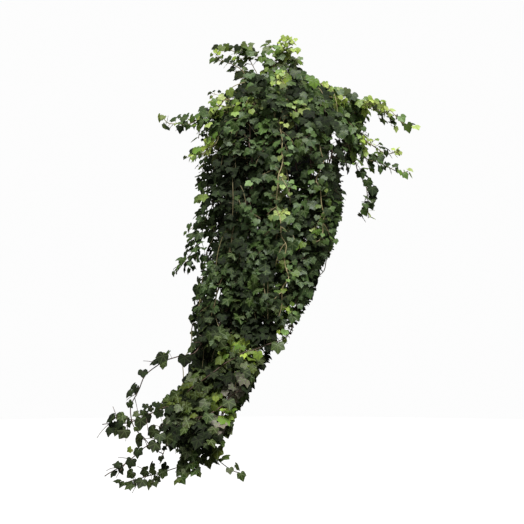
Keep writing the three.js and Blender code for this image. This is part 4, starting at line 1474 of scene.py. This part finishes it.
def leaf_age(shoot, distance, base, rng):
    """The age that a leaf's colour shows, from 0 for the newest to 1: older and darker low down, partly as
    painted shade.
    """
    from_tip = shoot.length - distance
    # leaves low down look older and so darker: partly their own colour, partly painted shade
    low = smoothstep(-base.z, 0.1, 0.75)
    age = smoothstep(from_tip, shoot.young_length * -0.25, shoot.young_length * (1 - 0.9 * low))
    age *= rng.uniform(0.58 + 0.26 * low, 0.9 + 0.1 * low)
    fresh = smoothstep(freshness(base), 0.0, 0.45) * rng.uniform(0.55, 1.0)
    return age * shoot.age * (1 - fresh)


def wood_mesh(shoots, skin, materials):
    """The round wood of some shoots as one closed mesh in one skin, thinner towards each tip."""
    curve = round_curve(1.0, 1)
    for material in materials:
        curve.materials.append(material)
    for shoot in shoots:
        thinning = (shoot.tip_radius - shoot.foot_radius) / (len(shoot.line) - 1)
        radii = [shoot.foot_radius + thinning * i for i in range(len(shoot.line))]
        add_line(curve, shoot.line, radii).material_index = skin
    return mesh_of(solid_of(curve, keep_uv=False), "wood")


FIRST_SHOOT = 0.09
CROWDED_FROM = 0.3
CROWDED_POINTS = 5
LOW_PART = -0.82
LOW_PART_SPACING = 0.5


def side_shoots(stem, tone, habit, settings, rng):
    """The side shoots of one stem, each cut short where it would leave the plant's outline."""
    shoots = []
    hand = rng.choice((-1, 1))
    distance = stem.length - 0.02
    while distance > FIRST_SHOOT:
        hand = -hand
        point = stem.along(distance)[0]
        loose = stem.length - distance < habit.bare_end
        if not loose or crowding(point) > CROWDED_FROM:
            shoot = side_shoot(stem, tone, distance, hand, habit, settings, rng)
            shoot.line = shoot.line[:CROWDED_POINTS] if loose else until_off_limits(shoot.line, habit, rng)
            if len(shoot.line) > 2:
                shoots.append(shoot)
        closer = LOW_PART_SPACING if point.z < LOW_PART else 1.0
        distance -= habit.shoot_spacing * closer * rng.uniform(0.6, 1.4)
    return shoots


def until_off_limits(line, habit, rng):
    """The points of a line up to the first one where no side shoot may go."""
    for i, point in enumerate(line[2:], 2):
        if in_holder(point) or beyond_box(point) or trimmed_off(point, habit.shoot_edges, rng):
            return line[:i]
    return line


# ---- Pieces ----


def finished(name, bm_or_mesh, materials, slot, *nodes):
    """A mesh as a piece of the object that stands for CAD nodes."""
    mesh = mesh_of(bm_or_mesh, name) if isinstance(bm_or_mesh, bmesh.types.BMesh) else bm_or_mesh
    chosen = [polygon.material_index for polygon in mesh.polygons]
    mesh.materials.clear()
    for material in materials:
        mesh.materials.append(material)
    mesh.polygons.foreach_set("material_index", chosen)
    piece = bpy.data.objects.new(name, mesh)
    bpy.context.scene.collection.objects.link(piece)
    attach(piece, "root")
    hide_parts(*nodes)
    return piece


WOOD_AGES = {"young": 0.1, "full": 0.3, "old": 0.45}
SLOTS = {"young": "leaf_young", "full": "leaf_full", "old": "leaf_old"}


def leafy_piece(name, tone, points, habit, settings, seed):
    """One stem with its side shoots and leaves, in place of its CAD node."""
    rng = random.Random(seed)
    kit, room = shared(settings)
    materials = plant_materials(settings)
    stem = main_shoot(points, tone, settings, habit)
    shoots = [stem, *side_shoots(stem, tone, habit, settings, rng)]
    bm = bmesh.new()
    bm.from_mesh(wood_mesh(shoots, WOOD if habit.woody else GREEN, materials))
    tones = [(len(bm.verts), (WOOD_AGES[tone], 0.5, 0.5, 0))]
    for shoot in shoots:
        tones += leafed(bm, shoot, kit, settings.leaves, room, rng)
    bmesh.ops.transform(bm, matrix=TO_FRAME, verts=bm.verts)
    piece = finished(f"leafy_{name}", bm, materials, SLOTS[tone], name)
    leaf_tone_and_light = piece.data.attributes.new("leaf_tone_and_light", "FLOAT_COLOR", "POINT")
    carried = [part for count, tone in tones for _ in range(count) for part in tone]
    leaf_tone_and_light.data.foreach_set("color", carried)
    return piece


def shared(settings):
    """The leaf shapes and the room taken so far, made once."""
    if "kit" not in SHARED:
        SHARED["kit"] = leaf_kit(settings.leaves)
        SHARED["room"] = Room(ROOM_CELL)
    return SHARED["kit"], SHARED["room"]


FIRST_SEEDS = {"crown": 1000, "side": 2000, "trailing": 3000, "curtain": 4000}


def leafy_pieces(routes, group, context):
    """A leafy piece for each route of a group."""
    for i, (name, tone, points) in enumerate(routes):
        habit = HABITS[HABIT_OF.get(name, group)]
        leafy_piece(name, tone, points, habit, context.scene.potted_ivy, FIRST_SEEDS[group] + i)


# ---- Pot, soil and hanger ----


def pot_material(pot):
    """Matte moulded plastic, a little dusty."""
    material, tree, shader = new_material("pot_plastic")
    places = object_coordinates(tree)
    dust = noise_at(tree, places, 0.03, 4.0, 0.6)
    grain = noise_at(tree, places, 0.0012, 2.0)
    body = mixed(tree, ranged(tree, dust, 0.5, 0.8, 0, 0.25), pot.plastic, (0.10, 0.095, 0.08))
    feed(tree, shader, {"Base Color": body, "Roughness": ranged(tree, dust, 0.3, 0.8, 0.42, 0.66)})
    bumped(tree, shader, grain, 0.0002, 0.5)
    return material


def lathed(profile, steps):
    """A closed solid turned about Z, from (radius, height) points from the axis round to the axis again."""
    bm = bmesh.new()
    line = [bm.verts.new((radius, 0, z)) for radius, z in profile]
    edges = [bm.edges.new(pair) for pair in zip(line, line[1:])]
    bmesh.ops.spin(
        bm, geom=[*line, *edges], cent=(0, 0, 0), axis=(0, 0, 1), angle=math.tau, steps=steps, use_merge=True
    )
    bmesh.ops.remove_doubles(bm, verts=bm.verts, dist=1e-6)
    bmesh.ops.recalc_face_normals(bm, faces=bm.faces)
    for face in bm.faces:
        face.smooth = True
    return bm


def pot_profile():
    """The pot's section: foot, wall with a ledge, rolled rim, and the inside down to the floor."""
    lip = RIM_THICKNESS / 2
    rolled = [
        (RIM_RADIUS - lip + lip * math.cos(math.radians(a)), -lip + lip * math.sin(math.radians(a)))
        for a in range(-90, 91, 30)
    ]
    return [
        (0, -POT_HEIGHT + 0.0015),
        (POT_BASE_RADIUS - 0.010, -POT_HEIGHT + 0.0015),
        (POT_BASE_RADIUS - 0.008, -POT_HEIGHT),
        (POT_BASE_RADIUS - 0.001, -POT_HEIGHT),
        (POT_BASE_RADIUS + 0.0004, -POT_HEIGHT + 0.0015),
        (POT_TOP_RADIUS - 0.0066, -0.032),
        (POT_TOP_RADIUS - 0.0036, -0.030),
        (POT_TOP_RADIUS - 0.0010, -0.0042),
        (POT_TOP_RADIUS + 0.0004, -RIM_THICKNESS),
        *rolled,
        (POT_TOP_RADIUS + 0.0006, -0.0001),
        (POT_TOP_RADIUS - POT_WALL + 0.0004, -0.0006),
        (POT_TOP_RADIUS - POT_WALL - 0.0004, -0.002),
        (POT_BASE_RADIUS - POT_WALL, -POT_HEIGHT + POT_WALL + 0.002),
        (POT_BASE_RADIUS - POT_WALL - 0.002, -POT_HEIGHT + POT_WALL),
        (0, -POT_HEIGHT + POT_WALL),
    ]


def hole_cutters():
    """Rods where the rim has holes for the wires and the floor has drainage holes."""
    bm = bmesh.new()
    places = [(compass(azimuth, WIRE_HOLE_RING, -0.0015), 0.0022) for azimuth in WIRE_AZIMUTHS]
    places += [(compass(45 + 90 * i, 0.048, -POT_HEIGHT), 0.005) for i in range(4)]
    for centre, radius in places:
        bmesh.ops.create_cone(
            bm, cap_ends=True, segments=20, radius1=radius, radius2=radius, depth=0.012,
            matrix=Matrix.Translation(centre),
        )  # fmt: skip
    return mesh_of(bm, "hole_cutters")


def cut(mesh, cutter_mesh):
    """A mesh with another one cut out of it."""
    scene = bpy.context.scene
    body = bpy.data.objects.new("body", mesh)
    cutter = bpy.data.objects.new("cutter", cutter_mesh)
    scene.collection.objects.link(body)
    scene.collection.objects.link(cutter)
    boolean = body.modifiers.new("holes", "BOOLEAN")
    boolean.operation = "DIFFERENCE"
    boolean.solver = "EXACT"
    boolean.object = cutter
    graph = bpy.context.evaluated_depsgraph_get()
    made = bpy.data.meshes.new_from_object(body.evaluated_get(graph))
    bpy.data.objects.remove(body)
    bpy.data.objects.remove(cutter)
    return made


def build_pot(settings):
    """The round pot with its flat rim, its wire holes and its drainage holes."""
    mesh = cut(mesh_of(lathed(pot_profile(), settings.pot.sides), "pot_body"), hole_cutters())
    mesh.transform(TO_FRAME)
    mesh.set_sharp_from_angle(angle=math.radians(40))
    return finished("hanging_pot", mesh, [pot_material(settings.pot)], "pot_plastic", "pot")


def soil_material(pot):
    """Damp peaty soil: dark crumbs, fibres and a few paler bits of bark."""
    material, tree, shader = new_material("potting_soil_crumbs")
    places = object_coordinates(tree)
    crumbs = node(tree, "ShaderNodeTexVoronoi", {"Vector": places, "Scale": 420.0})
    fibres = noise_at(tree, places, 0.004, 5.0, 0.7)
    cracks = ranged(tree, crumbs.outputs["Distance"], 0.1, 0.6, 0.5, 0)
    body = mixed(tree, ranged(tree, fibres, 0.42, 0.68), pot.soil, darkened(pot.soil, 3.2))
    body = mixed(tree, cracks, body, (0.008, 0.005, 0.004))
    feed(tree, shader, {"Base Color": body, "Roughness": 0.95})
    bumped(tree, shader, fibres, 0.002, 0.9)
    return material


def perlite_material():
    """Off-white, chalky grains."""
    material, tree, shader = new_material("perlite_grains")
    stain = noise_at(tree, object_coordinates(tree), 0.003, 3.0)
    body = mixed(tree, ranged(tree, stain, 0.4, 0.75, 0, 0.6), (0.62, 0.60, 0.55), (0.20, 0.15, 0.10))
    feed(tree, shader, {"Base Color": body, "Roughness": 0.9})
    bumped(tree, shader, stain, 0.0008)
    return material


def build_soil(settings):
    """The soil: a tapered fill with a lumpy top, and grains of perlite in it."""
    pot = settings.pot
    bottom = -POT_HEIGHT + POT_WALL + 0.0003
    edge = soil_radius(-SOIL_BELOW_RIM)
    rings = [(edge * i / 12, soil_top(edge * i / 12)) for i in range(12, -1, -1)]
    bm = lathed([(0, bottom), (soil_radius(bottom), bottom), *rings], 72)
    top = [v for v in bm.verts if v.co.z > bottom + 0.02 and math.hypot(v.co.x, v.co.y) < edge - 0.001]
    for vertex in top:
        lump = noise.fractal(vertex.co * 60, 0.8, 2.1, 3)
        vertex.co.z += pot.lump_height * max(-0.7, min(1, lump))
    rng = random.Random(7)
    for _ in range(pot.perlite_count):
        radius = edge * math.sqrt(rng.random()) * 0.95
        place = compass(rng.uniform(0, 360), radius, soil_top(radius) + 0.0008)
        size = rng.uniform(0.0012, 0.0026)
        flattened = Matrix.Translation(place) @ Matrix.Diagonal((1, 1, 0.7, 1))
        grain = bmesh.ops.create_icosphere(bm, subdivisions=1, radius=size, matrix=flattened)
        for face in {face for vertex in grain["verts"] for face in vertex.link_faces}:
            face.material_index = 1
    bmesh.ops.transform(bm, matrix=TO_FRAME, verts=bm.verts)
    materials = [soil_material(pot), perlite_material()]
    return finished("soil_with_perlite", bm, materials, "potting_soil", "potting_soil")


def steel_material(hanger):
    """Wire with a dark coating, worn a little where it rubs."""
    material, tree, shader = new_material("coated_wire")
    places = object_coordinates(tree)
    wear = noise_at(tree, places, 0.006, 4.0, 0.65)
    worn = ranged(tree, wear, 0.62, 0.72)
    body = mixed(tree, worn, hanger.steel, (0.20, 0.19, 0.18))
    roughness = ranged(tree, wear, 0.3, 0.8, 0.5, 0.32)
    feed(tree, shader, {"Base Color": body, "Metallic": times(tree, worn, 0.8), "Roughness": roughness})
    bumped(tree, shader, wear, 0.0002, 0.4)
    return material


def rounded(points, radius):
    """The same route with each corner rounded off."""
    route = [points[0]]
    for before, corner, after in zip(points, points[1:], points[2:]):
        back = before - corner
        ahead = after - corner
        start = corner + back.normalized() * min(radius, back.length * 0.45)
        end = corner + ahead.normalized() * min(radius, ahead.length * 0.45)
        route += interpolate_bezier(start, start.lerp(corner, 0.6), end.lerp(corner, 0.6), end, 6)
    return [*route, points[-1]]


def rod(points, radius):
    """A closed round rod along a route."""
    curve = round_curve(radius, 4)
    add_line(curve, points)
    return solid_of(curve)


def wire_route(azimuth, bend):
    """Out of the ferrule, down to the rim, through its hole and back up round the rim's edge."""
    mouth = -RIM_TOP + FERRULE_TOP - FERRULE_HEIGHT
    under = -RIM_THICKNESS - 0.0003 - WIRE_RADIUS
    outside = RIM_RADIUS + 0.0003 + WIRE_RADIUS
    corners = [
        compass(azimuth, 0.0026, mouth + 0.008),
        compass(azimuth, 0.0036, mouth - 0.004),
        compass(azimuth, WIRE_HOLE_RING, 0.008),
        compass(azimuth, WIRE_HOLE_RING, under),
        compass(azimuth, outside, under),
        compass(azimuth, outside, 0.005),
    ]
    return rounded(corners, bend)


def build_hanger(settings):
    """The three wires, and the hook with its ferrule."""
    steel = steel_material(settings.hanger)
    for i, azimuth in enumerate(WIRE_AZIMUTHS, 1):
        bm = rod(wire_route(azimuth, settings.hanger.bend_radius), WIRE_RADIUS)
        bmesh.ops.transform(bm, matrix=TO_FRAME, verts=bm.verts)
        finished(f"coated_wire_{i}", bm, [steel], "hanger_steel", f"hanger_wire_{i}")
    bm = hook_rod()
    bm.from_mesh(mesh_of(lathed(ferrule_profile(), 32), "ferrule"))
    return finished("coated_hook", bm, [steel], "hanger_steel", "hanger_hook")


def hook_rod():
    """The open ring of the hook, on its straight shank."""
    ring = HOOK_INSIDE_RADIUS + HOOK_ROD_RADIUS
    first, last = HOOK_TURNS
    points = [Vector((0, 0, FERRULE_TOP - FERRULE_HEIGHT / 2)), Vector((0, 0, FERRULE_TOP + 0.008))]
    arc = []
    for i in range(41):
        turn = math.radians(first + (last - first) * i / 40)
        arc.append(Vector((math.cos(turn) * ring, 0, math.sin(turn) * ring - HOOK_INSIDE_RADIUS)))
    return rod([*rounded([*points, arc[0]], 0.004)[:-1], *arc], HOOK_ROD_RADIUS)


def ferrule_profile():
    """The ferrule's section, pinched twice where it is crimped."""
    low = FERRULE_TOP - FERRULE_HEIGHT
    full = FERRULE_RADIUS
    pinched = FERRULE_RADIUS - 0.0009
    steps = ((0, full - 0.001), (0.001, full), (0.004, full), (0.005, pinched), (0.006, full), (0.0095, full),
             (0.0105, pinched), (0.0115, full), (0.015, full), (0.016, full - 0.001))  # fmt: skip
    return [(0, low), *((radius, low + rise) for rise, radius in steps), (0, FERRULE_TOP)]


# ---- Stage ----

KEY_DIRECTION = (-0.10, 0.52, -1.0)


def build_stage(settings):
    """A plain pale floor and backdrop, a soft light and the camera."""
    stage = settings.stage
    bm = bmesh.new()
    bmesh.ops.create_circle(
        bm, cap_ends=True, segments=96, radius=14, matrix=Matrix.Translation((0, 0, -stage.floor_drop))
    )
    mesh = mesh_of(bm, "floor")
    floor = bpy.data.objects.new("floor", mesh)
    bpy.context.scene.collection.objects.link(floor)
    mesh.materials.append(floor_material(stage))
    sky(stage)
    key_light(stage)
    camera(stage)


def floor_material(stage):
    """A matte pale floor, which throws less light back up than it shows."""
    material, tree, shader = new_material("pale_floor")
    seen = tree.nodes.new("ShaderNodeLightPath").outputs["Is Camera Ray"]
    body = mixed(tree, seen, darkened(stage.floor, 0.2), stage.floor)
    feed(tree, shader, {"Base Color": body, "Roughness": 0.9})
    return material


def sky(stage):
    """A pale backdrop all round, and an even fill light that is weaker than it looks."""
    world = bpy.data.worlds.new("pale_backdrop")
    world.use_nodes = True
    tree = world.node_tree
    seen = tree.nodes.new("ShaderNodeLightPath").outputs["Is Camera Ray"]
    background = tree.nodes["Background"]
    background.inputs["Color"].default_value = (1, 1, 1, 1)
    tree.links.new(ranged(tree, seen, 0, 1, stage.fill, stage.backdrop), background.inputs["Strength"])
    bpy.context.scene.world = world


def key_light(stage):
    """One wide soft light from above, a little to the left and the front."""
    light = bpy.data.lights.new("overhead", "SUN")
    light.energy = stage.key
    light.angle = stage.softness
    lamp = bpy.data.objects.new("overhead", light)
    lamp.rotation_mode = "QUATERNION"
    lamp.rotation_quaternion = Vector(KEY_DIRECTION).to_track_quat("-Z", "Y")
    bpy.context.scene.collection.objects.link(lamp)


def camera(stage):
    """The camera, low and in front, looking up a little."""
    lens = bpy.data.cameras.new("camera")
    lens.sensor_width = 36
    lens.lens = stage.lens
    view = bpy.data.objects.new("camera", lens)
    view.location = CAMERA_PLACE
    view.rotation_euler = (math.pi / 2 + stage.pitch, 0, 0)
    bpy.context.scene.collection.objects.link(view)
    bpy.context.scene.camera = view
    bpy.context.scene.view_settings.view_transform = "Standard"


# ---- Operators ----


class IVY_OT_pot(Operator):
    """Builds the pot"""

    bl_idname = "ivy.pot"
    bl_label = "Pot"

    def execute(self, context):
        build_pot(context.scene.potted_ivy)
        return {"FINISHED"}


class IVY_OT_soil(Operator):
    """Fills the pot with soil"""

    bl_idname = "ivy.soil"
    bl_label = "Soil"

    def execute(self, context):
        build_soil(context.scene.potted_ivy)
        return {"FINISHED"}


class IVY_OT_hanger(Operator):
    """Builds the hook and the three wires"""

    bl_idname = "ivy.hanger"
    bl_label = "Hanger"

    def execute(self, context):
        build_hanger(context.scene.potted_ivy)
        return {"FINISHED"}


class IVY_OT_crown_stems(Operator):
    """Grows the shoots of the crown"""

    bl_idname = "ivy.crown_stems"
    bl_label = "Crown stems"

    def execute(self, context):
        leafy_pieces(crown_routes(), "crown", context)
        return {"FINISHED"}


class IVY_OT_side_stems(Operator):
    """Grows the stems that leave the crown to one side"""

    bl_idname = "ivy.side_stems"
    bl_label = "Side stems"

    def execute(self, context):
        leafy_pieces(side_routes(), "side", context)
        return {"FINISHED"}


class IVY_OT_trailing_stems(Operator):
    """Grows the longest stems, which end in the sprays at the lower left"""

    bl_idname = "ivy.trailing_stems"
    bl_label = "Trailing stems"

    def execute(self, context):
        leafy_pieces(trailing_routes(), "trailing", context)
        return {"FINISHED"}


class IVY_OT_curtain_stems(Operator):
    """Grows the hanging curtain"""

    bl_idname = "ivy.curtain_stems"
    bl_label = "Curtain stems"

    def execute(self, context):
        leafy_pieces(curtain_routes(), "curtain", context)
        return {"FINISHED"}


class IVY_OT_stage(Operator):
    """Sets the floor, the light and the camera"""

    bl_idname = "ivy.stage"
    bl_label = "Stage"

    def execute(self, context):
        build_stage(context.scene.potted_ivy)
        return {"FINISHED"}


class IVY_PG_settings(PropertyGroup):
    """Everything that a user may change."""

    leaves: PointerProperty(type=IVY_PG_leaves)
    stems: PointerProperty(type=IVY_PG_stems)
    pot: PointerProperty(type=IVY_PG_pot)
    hanger: PointerProperty(type=IVY_PG_hanger)
    stage: PointerProperty(type=IVY_PG_stage)


class IVY_PT_panel(Panel):
    """The ivy's operators and settings in the sidebar"""

    bl_idname = "IVY_PT_panel"
    bl_label = "Potted Ivy"
    bl_space_type = "VIEW_3D"
    bl_region_type = "UI"
    bl_category = "Potted Ivy"

    def draw(self, context):
        settings = context.scene.potted_ivy
        for operator in OPERATORS:
            self.layout.operator(operator.bl_idname)
        for group in (settings.leaves, settings.stems, settings.pot, settings.hanger, settings.stage):
            box = self.layout.box()
            for name in group.__annotations__:
                box.prop(group, name)


OPERATORS = (
    IVY_OT_stage,
    IVY_OT_pot,
    IVY_OT_soil,
    IVY_OT_hanger,
    IVY_OT_crown_stems,
    IVY_OT_side_stems,
    IVY_OT_trailing_stems,
    IVY_OT_curtain_stems,
)
GROUPS = (IVY_PG_leaves, IVY_PG_stems, IVY_PG_pot, IVY_PG_hanger, IVY_PG_stage, IVY_PG_settings)


def register():
    """Registers the settings, the operators and the panel."""
    for kind in (*GROUPS, *OPERATORS, IVY_PT_panel):
        bpy.utils.register_class(kind)
    bpy.types.Scene.potted_ivy = PointerProperty(type=IVY_PG_settings)


def unregister():
    """Takes everything back."""
    del bpy.types.Scene.potted_ivy
    for kind in reversed((*GROUPS, *OPERATORS, IVY_PT_panel)):
        bpy.utils.unregister_class(kind)


def main():
    """Builds the whole scene."""
    register()
    bpy.ops.ivy.stage()
    bpy.ops.ivy.pot()
    bpy.ops.ivy.soil()
    bpy.ops.ivy.hanger()
    bpy.ops.ivy.crown_stems()
    bpy.ops.ivy.side_stems()
    bpy.ops.ivy.trailing_stems()
    bpy.ops.ivy.curtain_stems()


if __name__ == "__main__":
    main()
